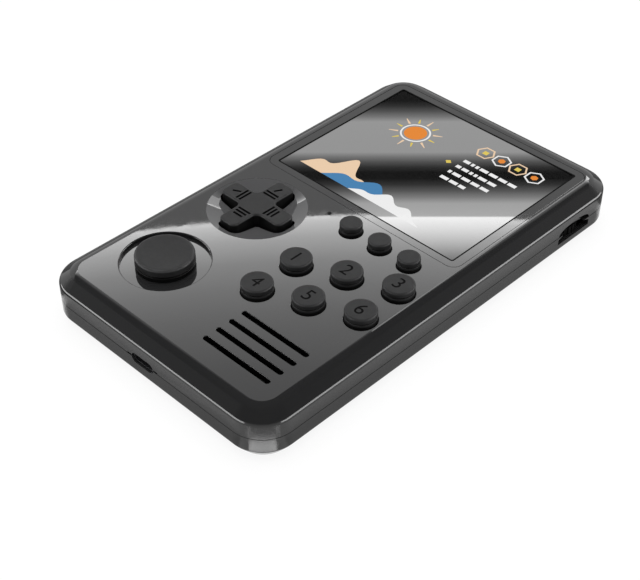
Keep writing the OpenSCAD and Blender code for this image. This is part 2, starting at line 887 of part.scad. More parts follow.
front_shell();
back_shell();
case_screws();
screen_lens();
lcd_gasket();
lcd_panel();
lcd_bracket();
bracket_screws();
lcd_flex();
key_board();
key_screws();
main_board();
board_screws();
main_chip();
board_connector();
io_board();
io_screws();
io_cable();
battery();
battery_pad();
battery_plug();
battery_leads();
speaker_frame();
speaker_cone();
speaker_magnet();
dpad();
dpad_rubber_pad();
joystick_cap();
joystick_slider();
joystick_frame();
joystick_base();
button_1();
button_2();
button_3();
button_4();
button_5();
button_6();
function_button_1();
function_button_2();
function_button_3();
action_keypad();
function_keypad();
led_chip();
led_light_pipe();
usb_socket();
sound_jack();
volume_wheel();
volume_pot();
power_slider();
power_switch();
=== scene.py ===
"""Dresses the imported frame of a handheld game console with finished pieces, materials and a studio."""

import math

import bmesh
import bpy
from bpy.props import FloatProperty, FloatVectorProperty, IntProperty, PointerProperty
from mathutils import Matrix, Vector


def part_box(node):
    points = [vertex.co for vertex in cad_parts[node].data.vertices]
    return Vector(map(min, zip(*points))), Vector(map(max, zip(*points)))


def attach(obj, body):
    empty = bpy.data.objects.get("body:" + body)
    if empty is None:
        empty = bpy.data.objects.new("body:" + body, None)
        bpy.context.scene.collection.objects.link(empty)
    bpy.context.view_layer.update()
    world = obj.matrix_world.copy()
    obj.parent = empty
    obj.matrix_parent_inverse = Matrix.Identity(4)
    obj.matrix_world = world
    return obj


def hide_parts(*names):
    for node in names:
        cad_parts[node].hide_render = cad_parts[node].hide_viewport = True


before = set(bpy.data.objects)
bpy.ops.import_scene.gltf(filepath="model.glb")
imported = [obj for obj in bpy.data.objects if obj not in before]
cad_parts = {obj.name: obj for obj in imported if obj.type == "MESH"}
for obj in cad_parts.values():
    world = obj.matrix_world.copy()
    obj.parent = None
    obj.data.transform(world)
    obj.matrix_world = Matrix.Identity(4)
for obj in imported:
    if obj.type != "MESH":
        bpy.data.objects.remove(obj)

bl_info = {
    "name": "Handheld Console",
    "version": (1, 0, 0),
    "blender": (4, 5, 0),
    "location": "View3D > Sidebar > Console",
    "description": "Builds the looks of a handheld game console on its packed frame",
    "category": "Object",
}

MM = 0.001
ACTION_BUTTONS = [f"button_{i}" for i in range(1, 7)]
FUNCTION_BUTTONS = [f"function_button_{i}" for i in range(1, 4)]


class HandheldSizes(bpy.types.PropertyGroup):
    """Sizes of the details that the looks add to the frame."""

    face_round: FloatProperty(
        name="Face round", description="Radius between the face and its chamfer",
        default=4.5 * MM, min=0.3 * MM, unit="LENGTH")
    ridge_round: FloatProperty(
        name="Ridge round", description="Radius between the chamfer and the side walls",
        default=1.4 * MM, min=0.05 * MM, unit="LENGTH")
    back_round: FloatProperty(
        name="Back round", description="Radius at both edges of the bevel of the back",
        default=1.2 * MM, min=0.05 * MM, unit="LENGTH")
    seam_round: FloatProperty(
        name="Seam round", description="Radius along the seam between the case halves",
        default=0.16 * MM, min=0.02 * MM, unit="LENGTH")
    recess_round: FloatProperty(
        name="Recess round", description="Radius of the rim of the recess round the stick",
        default=0.35 * MM, min=0.05 * MM, unit="LENGTH")
    rim_round: FloatProperty(
        name="Rim round", description="Radius of the rims of the other holes",
        default=0.14 * MM, min=0.02 * MM, unit="LENGTH")
    key_round: FloatProperty(
        name="Key round", description="Width of the rounded top edges of the direction pad",
        default=0.45 * MM, min=0.05 * MM, unit="LENGTH")
    window_width: FloatProperty(
        name="Window width", description="Width of the clear window in the lens",
        default=62 * MM, min=50 * MM, unit="LENGTH")
    window_length: FloatProperty(
        name="Window length", description="Length of the clear window in the lens",
        default=50.85 * MM, min=40 * MM, unit="LENGTH")
    window_line: FloatProperty(
        name="Window line", description="Width of the black printed line round the window",
        default=0.42 * MM, min=0.1 * MM, unit="LENGTH")
    window_depth: FloatProperty(
        name="Window depth", description="Depth of the lit display film below the lens face",
        default=0.12 * MM, min=0.05 * MM, unit="LENGTH")
    film: FloatProperty(
        name="Film", description="Thickness of the display film behind the window",
        default=0.04 * MM, min=0.01 * MM, unit="LENGTH")
    numeral_size: FloatProperty(
        name="Numeral size", description="Type size of the numerals on the action buttons",
        default=5.5 * MM, min=1 * MM, unit="LENGTH")
    numeral_depth: FloatProperty(
        name="Numeral depth", description="Depth of the engraved numerals",
        default=0.12 * MM, min=0.02 * MM, unit="LENGTH")
    turn_steps: IntProperty(
        name="Turn steps", description="Facets round each turned piece", default=96, min=16)


class HandheldColours(bpy.types.PropertyGroup):
    """Base colours of the finishes, in linear light."""

    case: FloatVectorProperty(
        name="Case", description="Glossy dark grey of the case halves",
        subtype="COLOR", size=3, min=0, max=1, default=(0.019, 0.019, 0.0195))
    # Paler grey on the case edges: partly wear, partly a painted highlight along the ridges.
    case_worn_and_highlight: FloatVectorProperty(
        name="Case worn", description="Paler grey where the case is rubbed along its edges",
        subtype="COLOR", size=3, min=0, max=1, default=(0.03, 0.03, 0.031))
    key: FloatVectorProperty(
        name="Key", description="Matte dark grey of the buttons, direction pad and stick",
        subtype="COLOR", size=3, min=0, max=1, default=(0.023, 0.023, 0.0235))
    # Paler grey on the key edges: partly wear, partly a painted highlight.
    key_worn_and_highlight: FloatVectorProperty(
        name="Key worn", description="Paler grey along the rubbed edges of the keys",
        subtype="COLOR", size=3, min=0, max=1, default=(0.05, 0.05, 0.051))
    # Lighter grey painted on the dish round the pad: a painted reflection, with no change of finish.
    dish_painted_sheen: FloatVectorProperty(
        name="Dish", description="Satin dish round the direction pad",
        subtype="COLOR", size=3, min=0, max=1, default=(0.09, 0.09, 0.092))
    # Black of the lower sides of the keys: partly their real dark skirts and foot, partly painted shade on
    # the sides and in the grooves.
    skirt: FloatVectorProperty(
        name="Skirt", description="Black of the button skirts and the foot of the stick",
        subtype="COLOR", size=3, min=0, max=1, default=(0.004, 0.004, 0.004))
    # The ink black also paints shade on the case's hole walls, seam and cut edges, and darkens the volume
    # wheel in its slot.
    ink: FloatVectorProperty(
        name="Ink", description="Black paint in the engraved marks",
        subtype="COLOR", size=3, min=0, max=1, default=(0.002, 0.002, 0.002))
    floor: FloatVectorProperty(
        name="Floor", description="White of the floor",
        subtype="COLOR", size=3, min=0, max=1, default=(1.0, 1.0, 1.0))


class HandheldStudio(bpy.types.PropertyGroup):
    """Camera, light and reflection card of the studio."""

    azimuth: FloatProperty(
        name="Azimuth", description="Turn of the camera round the console",
        default=math.radians(44.623), subtype="ANGLE")
    elevation: FloatProperty(
        name="Elevation", description="Height angle of the camera",
        default=math.radians(40.305), subtype="ANGLE")
    distance: FloatProperty(
        name="Distance", description="Distance from the camera to its target",
        default=343.08 * MM, unit="LENGTH")
    lens: FloatProperty(
        name="Lens", description="Focal length in millimetres on a sensor 36 mm wide", default=76.338)
    target: FloatVectorProperty(
        name="Target", description="Point that the camera looks at", size=3, subtype="TRANSLATION",
        default=(8.919 * MM, -17.509 * MM, 6.6 * MM))
    card_away: FloatProperty(
        name="Card away", description="Distance of the softbox card beyond the target",
        default=1.0, unit="LENGTH")
    card_low: FloatProperty(
        name="Card low", description="Height of the card's lower edge above the face",
        default=0.741, unit="LENGTH")
    card_high: FloatProperty(
        name="Card high", description="Height of the card's upper edge above the face",
        default=1.36, unit="LENGTH")
    card_wide: FloatProperty(
        name="Card wide", description="Width of the card", default=2.0, unit="LENGTH")
    lamp_high: FloatProperty(
        name="Lamp high", description="Height of the overhead lamp", default=1.1, unit="LENGTH")
    lamp_wide: FloatProperty(
        name="Lamp wide", description="Side of the square overhead lamp", default=1.2, unit="LENGTH")
    lamp_power: FloatProperty(
        name="Lamp power", description="Power of the overhead lamp in watts", default=10.5)
    fill: FloatProperty(
        name="Fill", description="Level of the even fill light", default=0.4)


# Meshes


def merged_mesh(node):
    """A copy of a node's mesh with its corners joined."""
    bm = bmesh.new()
    bm.from_mesh(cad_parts[node].data)
    bmesh.ops.remove_doubles(bm, verts=bm.verts, dist=1e-6)
    bm.normal_update()
    return bm


def node_mesh(node):
    """A copy of a node's mesh, its triangles merged into whole faces."""
    bm = merged_mesh(node)
    bmesh.ops.dissolve_limit(bm, angle_limit=math.radians(0.4), verts=bm.verts, edges=bm.edges)
    bm.normal_update()
    return bm


def wear_and_highlight_layer(bm):
    """The layer that marks the faces where rubbing shows, paler partly from wear and partly as a painted edge
    highlight.
    """
    return bm.faces.layers.float.get("edge_wear_and_highlight") or bm.faces.layers.float.new("edge_wear_and_highlight")


def round_layer(bm):
    """The layer that marks the narrow faces of a rounded edge."""
    return bm.faces.layers.int.get("rounded") or bm.faces.layers.int.new("rounded")


def crease(edge):
    """Angle between the two faces at an edge, in degrees."""
    return math.degrees(edge.calc_face_angle(0))


def corner_normals(bm, sharp):
    """One normal for each face corner: true on the main faces, turning only across the rounded edges."""
    rounded = round_layer(bm)
    limit = math.cos(math.radians(sharp))
    weighted = {face: face.normal * face.calc_area() for face in bm.faces}
    normals = []
    for face in bm.faces:
        for corner in face.loops:
            around = corner.vert.link_faces
            main = [f for f in around if not f[rounded]]
            guide = face
            if face[rounded] and main:
                guide = max(main, key=lambda f: f.normal.dot(face.normal))
            group = [f for f in main or around if f.normal.dot(guide.normal) > limit] or [face]
            normals.append(sum((weighted[f] for f in group), Vector()).normalized())
    return normals


def piece(bm, name, body, materials, replaced=(), sharp=35):
    """Turns a mesh under construction into a piece that rides on a body and stands for nodes of the frame."""
    wear_and_highlight_layer(bm)
    bm.normal_update()
    for face in bm.faces:
        face.smooth = True
    normals = corner_normals(bm, sharp)
    mesh = bpy.data.meshes.new(name)
    bm.to_mesh(mesh)
    bm.free()
    mesh.normals_split_custom_set(normals)
    obj = bpy.data.objects.new(name, mesh)
    bpy.context.scene.collection.objects.link(obj)
    for material in materials:
        mesh.materials.append(material)
    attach(obj, body)
    if replaced:
        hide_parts(*replaced)
    return obj


def rounded_loop(centre, width, length, radius, height, steps=10):
    """Points of a rounded rectangle at one height, counter-clockwise from the right side."""
    points = []
    for turn, (sx, sy) in enumerate(((1, 1), (-1, 1), (-1, -1), (1, -1))):
        x, y = centre[0] + sx * (width / 2 - radius), centre[1] + sy * (length / 2 - radius)
        corner = Vector((x, y, height))
        for k in range(steps + 1):
            angle = math.radians(90 * (turn + k / steps))
            points.append(corner + radius * Vector((math.cos(angle), math.sin(angle), 0)))
    return points


def add_loops(bm, loops):
    """Joins loops of points by quads; returns the faces band by band, and the loops of corners."""
    rings = [[bm.verts.new(p) for p in loop] for loop in loops]
    count = len(rings[0])
    bands = [
        [bm.faces.new((a[i], a[(i + 1) % count], b[(i + 1) % count], b[i])) for i in range(count)]
        for a, b in zip(rings, rings[1:])
    ]
    return bands, rings


def rounded_profile(points, radii, steps=6):
    """Rounds the corners of an open line of (radius, height) points."""
    result = [Vector(points[0])]
    for before, here, after, radius in zip(points, points[1:], points[2:], radii[1:]):
        here, before, after = Vector(here), Vector(before), Vector(after)
        if radius <= 0:
            result.append(here)
            continue
        to_before, to_after = (before - here).normalized(), (after - here).normalized()
        half = math.acos(max(-1, min(1, to_before.dot(to_after)))) / 2
        reach = radius / math.tan(half)
        start, end = here + to_before * reach, here + to_after * reach
        centre = here + (to_before + to_after).normalized() * (radius / math.sin(half))
        first, last = start - centre, end - centre
        sweep = first.angle_signed(last)
        for k in range(steps + 1):
            result.append(centre + Matrix.Rotation(-sweep * k / steps, 2) @ first)
    result.append(Vector(points[-1]))
    return result


def turned(bm, profile, centre, steps):
    """Spins a line of (radius, height) points round an upright axis; ends on the axis are closed."""
    rings = []
    for radius, height in profile:
        if radius < 1e-7:
            rings.append([bm.verts.new((centre[0], centre[1], height))])
        else:
            rings.append([
                bm.verts.new((centre[0] + radius * math.cos(2 * math.pi * i / steps),
                              centre[1] + radius * math.sin(2 * math.pi * i / steps), height))
                for i in range(steps)])
    for low, high in zip(rings, rings[1:]):
        for i in range(steps):
            j = (i + 1) % steps
            corners = [low[i % len(low)], low[j % len(low)], high[j % len(high)], high[i % len(high)]]
            unique = list(dict.fromkeys(corners))
            if len(unique) > 2:
                bm.faces.new(unique)


def centre_of(node):
    """Middle of a node's box."""
    low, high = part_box(node)
    return (low + high) / 2


# Materials


MIX_A, MIX_B, MIX_OUT = 6, 7, 2  # colour sockets of a mix node


class Graph:
    """The node graph of one material, around a principled shader."""

    def __init__(self, name):
        self.material = bpy.data.materials.new(name)
        self.material.use_nodes = True
        self.tree = self.material.node_tree
        self.tree.nodes.clear()
        self.output = self.add("ShaderNodeOutputMaterial")
        self.shader = self.add("ShaderNodeBsdfPrincipled")
        self.link(self.shader, "BSDF", self.output, "Surface")
        self.coords = self.add("ShaderNodeTexCoord")

    def add(self, kind, inputs=None, **settings):
        """A new node with its settings and input values."""
        node = self.tree.nodes.new(kind)
        for key, value in settings.items():
            setattr(node, key, value)
        for key, value in (inputs or {}).items():
            node.inputs[key].default_value = value
        return node

    def link(self, a, out, b, into):
        """Joins an output socket to an input socket."""
        self.tree.links.new(a.outputs[out], b.inputs[into])

    def noise(self, size, detail=2.0, roughness=0.5, stretch=None):
        """Noise with features of about the given size in metres, stretched along the axes on request."""
        node = self.add("ShaderNodeTexNoise", {"Scale": 1 / size, "Detail": detail, "Roughness": roughness})
        if stretch:
            mapping = self.add("ShaderNodeMapping", {"Scale": stretch})
            self.link(self.coords, "Object", mapping, "Vector")
            self.link(mapping, "Vector", node, "Vector")
        else:
            self.link(self.coords, "Object", node, "Vector")
        return node

    def spread(self, node, out, low, high, start=0.0, end=1.0):
        """Maps a value from one span to another."""
        spread = self.add("ShaderNodeMapRange", {
            "From Min": start, "From Max": end, "To Min": low, "To Max": high})
        self.link(node, out, spread, "Value")
        return spread

    def ramp(self, stops):
        """A ramp of greys through (place, linear value) stops."""
        node = self.add("ShaderNodeValToRGB")
        elements = node.color_ramp.elements
        while len(elements) > 1:
            elements.remove(elements[-1])
        for index, (place, value) in enumerate(stops):
            element = elements.new(place) if index else elements[0]
            element.position = place
            element.color = (value, value, value, 1)
        return node

    def maths(self, operation, a, b):
        """A maths node on two values, each a number or a (node, socket) pair."""
        node = self.add("ShaderNodeMath", operation=operation)
        for index, value in enumerate((a, b)):
            if isinstance(value, tuple):
                self.link(*value, node, index)
            else:
                node.inputs[index].default_value = value
        return node

    def blend(self, factor, a, b):
        """A colour between two colours, each given as a tuple or as a (node, socket) pair."""
        node = self.add("ShaderNodeMix", data_type="RGBA")
        self.link(*factor, node, 0)
        for index, value in ((MIX_A, a), (MIX_B, b)):
            if isinstance(value[0], bpy.types.Node):
                self.link(*value, node, index)
            else:
                node.inputs[index].default_value = (*value, 1)
        return node

    def bump(self, node, out, depth, before=None):
        """Raises the surface by a texture, on top of an earlier bump."""
        bump = self.add("ShaderNodeBump", {"Strength": 1.0, "Distance": depth})
        self.link(node, out, bump, "Height")
        if before:
            self.link(before, "Normal", bump, "Normal")
        self.link(bump, "Normal", self.shader, "Normal")
        return bump

    def wear_and_highlight(self):
        """Patchy mask of the rubbed edges, paler partly from wear and partly as a painted highlight."""
        marked = self.add("ShaderNodeAttribute", attribute_name="edge_wear_and_highlight")
        patches = self.noise(2.5 * MM, detail=4)
        mask = self.spread(patches, "Fac", 0.25, 1.0, 0.35, 0.65)
        return self.maths("MULTIPLY", (marked, "Fac"), (mask, "Result"))


def shade(colour, factor):
    """A colour made lighter or darker by a factor."""
    return tuple(min(1.0, c * factor) for c in colour)


# Inside this radius the case colour is painted lighter, a painted reflection in the dish.
DISH_RADIUS = 13.4 * MM  # of the satin dish round the direction pad


def case_material(name, colours):
    """Glossy moulding with a fine grain on its side walls and rubbed edges, paler partly from wear and partly
    as a painted highlight; the dish round the pad is painted a lighter grey as a painted reflection.
    """
    graph = Graph(name)
    graph.shader.inputs["IOR"].default_value = 1.5
    clouds = graph.noise(9 * MM, detail=3)
    tone = graph.blend((clouds, "Fac"), shade(colours.case, 0.92), shade(colours.case, 1.08))
    wear_and_highlight = graph.wear_and_highlight()
    rubbed_and_highlight = graph.blend((wear_and_highlight, "Value"), (tone, MIX_OUT), tuple(colours.case_worn_and_highlight))
    pad = centre_of("dpad")
    away = graph.add("ShaderNodeVectorMath", operation="DISTANCE")
    graph.link(graph.coords, "Object", away, 0)
    away.inputs[1].default_value = (pad.x, pad.y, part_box("front_shell")[1].z)
    # Painted reflection: the dish round the pad takes a lighter grey.
    dish_painted_sheen = graph.spread(away, "Value", 1.0, 0.0, DISH_RADIUS - 0.1 * MM, DISH_RADIUS)
    colour = graph.blend((dish_painted_sheen, "Result"), (rubbed_and_highlight, MIX_OUT), tuple(colours.dish_painted_sheen))
    graph.link(colour, MIX_OUT, graph.shader, "Base Color")
    normal = graph.add("ShaderNodeNewGeometry")
    parts = graph.add("ShaderNodeSeparateXYZ")
    graph.link(normal, "Normal", parts, "Vector")
    upright = graph.maths("ABSOLUTE", (parts, "Z"), 0.0)
    wall = graph.spread(upright, "Value", 1.0, 0.0, 0.25, 0.5)
    smudges = graph.noise(3 * MM, detail=5, roughness=0.6)
    gloss = graph.spread(smudges, "Fac", 0.015, 0.035, 0.3, 0.7)
    slope = graph.spread(upright, "Value", 1.0, 0.0, 0.82, 0.92)
    satin = graph.maths("MULTIPLY", (slope, "Result"), 0.05)
    rough = graph.maths("ADD", (gloss, "Result"), (satin, "Value"))
    graph.link(rough, "Value", graph.shader, "Roughness")
    peel = graph.bump(graph.noise(1.6 * MM), "Fac", 0.0006 * MM)
    grain = graph.noise(0.22 * MM, detail=3, roughness=0.65)
    height = graph.maths("MULTIPLY", (grain, "Fac"), (wall, "Result"))
    graph.bump(height, "Value", 0.03 * MM, peel)
    return graph.material


def key_material(name, colour, worn_and_highlight, roughness, grain, gloss):
    """Matte moulding with a fine grain and rubbed edges, paler partly from wear and partly as a painted
    highlight.
    """
    graph = Graph(name)
    graph.shader.inputs["IOR"].default_value = 1.45
    graph.shader.inputs["Specular IOR Level"].default_value = gloss
    clouds = graph.noise(3 * MM, detail=4)
    tone = graph.blend((clouds, "Fac"), shade(colour, 0.9), shade(colour, 1.1))
    wear_and_highlight = graph.wear_and_highlight()
    mixed = graph.blend((wear_and_highlight, "Value"), (tone, MIX_OUT), tuple(worn_and_highlight))
    graph.link(mixed, MIX_OUT, graph.shader, "Base Color")
    smudges = graph.noise(1.2 * MM, detail=4)
    rough = graph.spread(smudges, "Fac", roughness - 0.05, roughness + 0.05, 0.3, 0.7)
    graph.link(rough, "Result", graph.shader, "Roughness")
    fine = graph.noise(0.16 * MM, detail=3, roughness=0.6)
    graph.bump(fine, "Fac", grain * MM)
    return graph.material


def simple_material(name, colour, roughness, metallic, grain_size, grain_depth, stretch=None):
    """A finish with varied tone and roughness and a fine bump, used for the inner pieces and fittings."""
    vary = 0.15
    graph = Graph(name)
    graph.shader.inputs["Metallic"].default_value = metallic
    clouds = graph.noise(grain_size * 12 * MM, detail=4)
    tone = graph.blend((clouds, "Fac"), shade(colour, 1 - vary), shade(colour, 1 + vary))
    graph.link(tone, MIX_OUT, graph.shader, "Base Color")
    grain = graph.noise(grain_size * MM, detail=3, roughness=0.6, stretch=stretch)
    rough = graph.spread(grain, "Fac", roughness * 0.8, min(1, roughness * 1.2), 0.3, 0.7)
    graph.link(rough, "Result", graph.shader, "Roughness")
    graph.bump(grain, "Fac", grain_depth * MM)
    return graph.material


def board_material(name, mask, copper, pitch):
    """Circuit laminate: solder mask over raised tracks, with bare pads."""
    graph = Graph(name)
    bricks = graph.add("ShaderNodeTexBrick", {
        "Scale": 1 / (pitch * MM), "Mortar Size": 0.06, "Color1": (1, 1, 1, 1), "Color2": (0.6, 0.6, 0.6, 1),
        "Mortar": (0, 0, 0, 1), "Brick Width": 1.7, "Row Height": 0.35})
    graph.link(graph.coords, "Object", bricks, "Vector")
    cells = graph.add("ShaderNodeTexVoronoi", {"Scale": 1 / (pitch * 0.8 * MM), "Randomness": 0.35})
    graph.link(graph.coords, "Object", cells, "Vector")
    pads = graph.spread(cells, "Distance", 1.0, 0.0, 0.16, 0.2)
    tracks = graph.blend((bricks, "Fac"), shade(mask, 1.35), mask)
    colour = graph.blend((pads, "Result"), (tracks, MIX_OUT), copper)
    graph.link(colour, MIX_OUT, graph.shader, "Base Color")
    rough = graph.spread(pads, "Result", 0.42, 0.28)
    graph.link(rough, "Result", graph.shader, "Roughness")
    graph.link(pads, "Result", graph.shader, "Metallic")
    graph.bump(bricks, "Fac", -0.02 * MM)
    return graph.material


def glass_material(name):
    """Clear window of the lens, bonded to the film that carries its gloss, with faint dust and smudges."""
    graph = Graph(name)
    shader = graph.shader
    smudges = graph.noise(6 * MM, detail=5)
    dust = graph.spread(smudges, "Fac", 0.005, 0.03, 0.45, 0.75)
    graph.link(dust, "Result", shader, "Base Color")
    shader.inputs["Alpha"].default_value = 0.03
    shader.inputs["Specular IOR Level"].default_value = 0.0
    rough = graph.spread(smudges, "Fac", 0.1, 0.3, 0.45, 0.75)
    graph.link(rough, "Result", shader, "Roughness")
    return graph.material


def grey(level):
    """Linear value of an 8-bit grey."""
    value = level / 255
    return value / 12.92 if value <= 0.04045 else ((value + 0.055) / 1.055) ** 2.4


# Wallpaper of the display: bands of grey by distance, in mm, along a line from the near to the far corner.
# The rise to 245 and the step down at 19.9 to 20.5 mm are a painted reflection of the softbox card.
WALLPAPER_TURN = math.radians(44.6)
WALLPAPER_START = -18.7 * MM
WALLPAPER_SPAN = 85 * MM
WALLPAPER_AND_PAINTED_REFLECTION = [
    (0, 95), (8, 172), (14, 215), (19.9, 245), (20.5, 172), (26, 163), (37.2, 4), (40.3, 4), (49.8, 150),
    (65, 152), (76, 3),
]
CELL = 0.12 * MM  # size of the display's cells


def grey_stops(stops):
    """Places and linear values of a line of 8-bit greys, with the steep parts divided."""
    made = []
    for (place, level), (after, target) in zip(stops, stops[1:] + stops[-1:]):
        parts = 4 if abs(target - level) > 60 and after - place > 2 else 1
        for share in (k / parts for k in range(parts)):
            made.append((place + (after - place) * share, grey(level + (target - level) * share)))
    return made


def lit_material(graph, cells):
    """Ends the graph of a lit display surface: dark when off, with the gloss of the window."""
    graph.shader.inputs["Emission Strength"].default_value = 1.0
    graph.shader.inputs["Base Color"].default_value = (0.004, 0.004, 0.004, 1)
    graph.shader.inputs["Specular IOR Level"].default_value = 0.02
    rough = graph.spread(cells, "Fac", 0.02, 0.05)
    graph.link(rough, "Result", graph.shader, "Roughness")
    return graph.material


def wallpaper_and_painted_reflection_material(name):
    """Lit display film: bands of grey from corner to corner, in part a painted reflection of the softbox
    card, with a fine cell grid.
    """
    graph = Graph(name)
    aim = Vector((-math.sin(WALLPAPER_TURN), math.cos(WALLPAPER_TURN), 0))
    dot = graph.add("ShaderNodeVectorMath", operation="DOT_PRODUCT")
    graph.link(graph.coords, "Object", dot, 0)
    dot.inputs[1].default_value = aim
    along = graph.spread(dot, "Value", 0, 1, WALLPAPER_START, WALLPAPER_START + WALLPAPER_SPAN)
    ramp = graph.ramp([(place * MM / WALLPAPER_SPAN, value) for place, value in grey_stops(WALLPAPER_AND_PAINTED_REFLECTION)])
    graph.link(along, "Result", ramp, "Fac")
    graph.link(ramp, "Color", graph.shader, "Emission Color")
    return lit_material(graph, graph.noise(CELL, detail=1))


def picture_material(name):
    """Lit marks of the menu, coloured face by face."""
    graph = Graph(name)
    ink = graph.add("ShaderNodeAttribute", attribute_name="ink")
    cells = graph.noise(CELL, detail=1)
    level = graph.spread(cells, "Fac", 0.92, 1.0)
    lit = graph.add("ShaderNodeMix", data_type="RGBA", blend_type="MULTIPLY")
    lit.inputs[0].default_value = 1.0
    graph.link(ink, "Color", lit, MIX_A)
    graph.link(level, "Result", lit, MIX_B)
    graph.link(lit, MIX_OUT, graph.shader, "Emission Color")
    return lit_material(graph, cells)


# Name, colour, roughness, metallic, grain size and depth in mm, and stretch of the grain, of plain finishes.
PLAIN_FINISHES = {
    "steel": ("plated_steel", (0.62, 0.62, 0.64), 0.28, 1.0, 0.12, 0.002, (1, 12, 1)),
    "screw": ("black_zinc", (0.2, 0.2, 0.21), 0.34, 1.0, 0.15, 0.004),
    "sheet": ("sheet_steel", (0.55, 0.55, 0.57), 0.32, 1.0, 0.2, 0.003, (1, 18, 1)),
    "pale": ("pale_moulding", (0.62, 0.61, 0.56), 0.45, 0.0, 0.3, 0.008),
    "rubber": ("keypad_rubber", (0.2, 0.2, 0.21), 0.75, 0.0, 0.2, 0.012),
    "foam": ("black_foam", (0.02, 0.02, 0.02), 0.95, 0.0, 0.35, 0.12),
    "cable": ("flat_cable", (0.55, 0.55, 0.53), 0.5, 0.0, 0.5, 0.03, (6, 0.3, 1)),
    "wire": ("wire_sleeve", (0.35, 0.02, 0.02), 0.4, 0.0, 0.3, 0.006),
    "cell": ("cell_foil", (0.5, 0.51, 0.53), 0.35, 0.9, 1.2, 0.05),
    "chip": ("chip_moulding", (0.015, 0.015, 0.016), 0.6, 0.0, 0.1, 0.006),
}
# Name, grey, grey where worn, which also stands for a painted edge highlight, roughness, grain depth in mm
# and gloss of the black mouldings.
BLACK_FINISHES = {
    "black": ("black_satin", 0.01, 0.03, 0.4, 0.008, 0.5),
    "pipe": ("smoked_pipe", 0.002, 0.002, 0.4, 0.002, 0.1),
    "basket": ("basket_plastic", 0.008, 0.008, 0.6, 0.01, 0.1),
    "cone": ("cone_paper", 0.004, 0.004, 0.9, 0.03, 0.05),
}
FINISHES = {}


def make_finish(name):
    """A new material for a finish."""
    if name in PLAIN_FINISHES:
        return simple_material(*PLAIN_FINISHES[name])
    if name in BLACK_FINISHES:
        title, level, worn_and_highlight, *rest = BLACK_FINISHES[name]
        return key_material(title, (level,) * 3, (worn_and_highlight,) * 3, *rest)
    colours = bpy.context.scene.handheld_colours
    makers = {
        "case": lambda: case_material("case_gloss", colours),
        "key": lambda: key_material("key_matte", colours.key, colours.key_worn_and_highlight, 0.5, 0.012, 0.22),
        "skirt": lambda: key_material(
            "skirt_black", colours.skirt, shade(colours.skirt, 2), 0.35, 0.004, 0.2),
        "ink": lambda: key_material("ink_and_painted_shade_black", colours.ink, colours.ink, 0.6, 0.006, 0.05),
        "glass": lambda: glass_material("lens_clear"),
        "wallpaper_and_painted_reflection": lambda: wallpaper_and_painted_reflection_material("display_lit_with_painted_reflection"),
        "picture": lambda: picture_material("display_marks_lit"),
        "board": lambda: board_material("laminate_green", (0.01, 0.07, 0.03), (0.75, 0.6, 0.3), 2.4),
        "flex": lambda: board_material("flex_amber", (0.3, 0.13, 0.02), (0.8, 0.55, 0.25), 0.9),
    }
    return makers[name]()


def finish(name):
    """The material of a finish, made once."""
    if name not in FINISHES:
        FINISHES[name] = make_finish(name)
    return FINISHES[name]


def coat(node, name):
    """Gives a node of the frame one finish."""
    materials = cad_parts[node].data.materials
    materials.clear()
    materials.append(finish(name))


# Case halves


CORNER_RADIUS = 9.5 * MM  # of the case outline
CHAMFER = (3.84 * MM, 2.83 * MM)  # width and height of the chamfer round the face
BEVEL = (2.4 * MM, 3.18 * MM)  # width and height of the bevel round the back
SKIN = 0.008 * MM  # by which a form clears the faces that it leaves alone
PLUG_PLACES = (0.29, 0.23, 0.37, 0.11)  # places along a rim's edges at which a plug may have its corners
PLUG_STEP = 0.42  # from one corner of a plug to the next, as a share of an edge
OPEN_EDGES = 8  # most open edges that a cut mesh may have


def at_height(edge, height):
    """Whether an edge lies at one height."""
    return all(abs(v.co.z - height) < 0.01 * MM for v in edge.verts)


def rim_loops(bm, height, angle):
    """Closed loops of the edges at one height with at least a crease angle, each counter-clockwise."""
    follow = {}
    for edge in bm.edges:
        if at_height(edge, height) and crease(edge) > angle:
            for here, there in (edge.verts, reversed(edge.verts)):
                follow.setdefault(here, []).append(there)
    loops = []
    while follow:
        loop, before = [next(iter(follow))], None
        while True:
            ahead = [v for v in follow[loop[-1]] if v is not before][0]
            if ahead is loop[0]:
                break
            before = loop[-1]
            loop.append(ahead)
        for vert in loop:
            del follow[vert]
        points = [v.co.copy() for v in loop]
        area = sum(a.x * b.y - b.x * a.y for a, b in zip(points, points[1:] + points[:1]))
        loops.append(points if area > 0 else points[::-1])
    return loops


def inset_loop(points, distance, height):
    """A closed loop of points moved inwards by a distance and set to a height."""
    moved = []
    for before, here, after in zip(points[-1:] + points[:-1], points, points[1:] + points[:1]):
        sides = [Vector((-(b - a).y, (b - a).x)).normalized() for a, b in ((before, here), (here, after))]
        inward = (sides[0] + sides[1]).normalized()
        step = distance / max(0.5, inward.dot(sides[0]))
        moved.append(Vector((here.x + inward.x * step, here.y + inward.y * step, height)))
    return moved


def add_stack(bm, loops):
    """Adds a closed solid through a stack of loops and returns the faces of its sides band by band."""
    bands, rings = add_loops(bm, loops)
    bm.faces.new(rings[-1])
    bm.faces.new(list(reversed(rings[0])))
    return bands


def case_form(profile, half_w, half_l):
    """Solid swept round the outline of the case from a line of (outset, height) points."""
    bm = bmesh.new()
    add_stack(bm, [
        rounded_loop((0, 0), 2 * (half_w + out), 2 * (half_l + out), CORNER_RADIUS + out, height, 24)
        for out, height in profile])
    bmesh.ops.recalc_face_normals(bm, faces=bm.faces)
    return bm


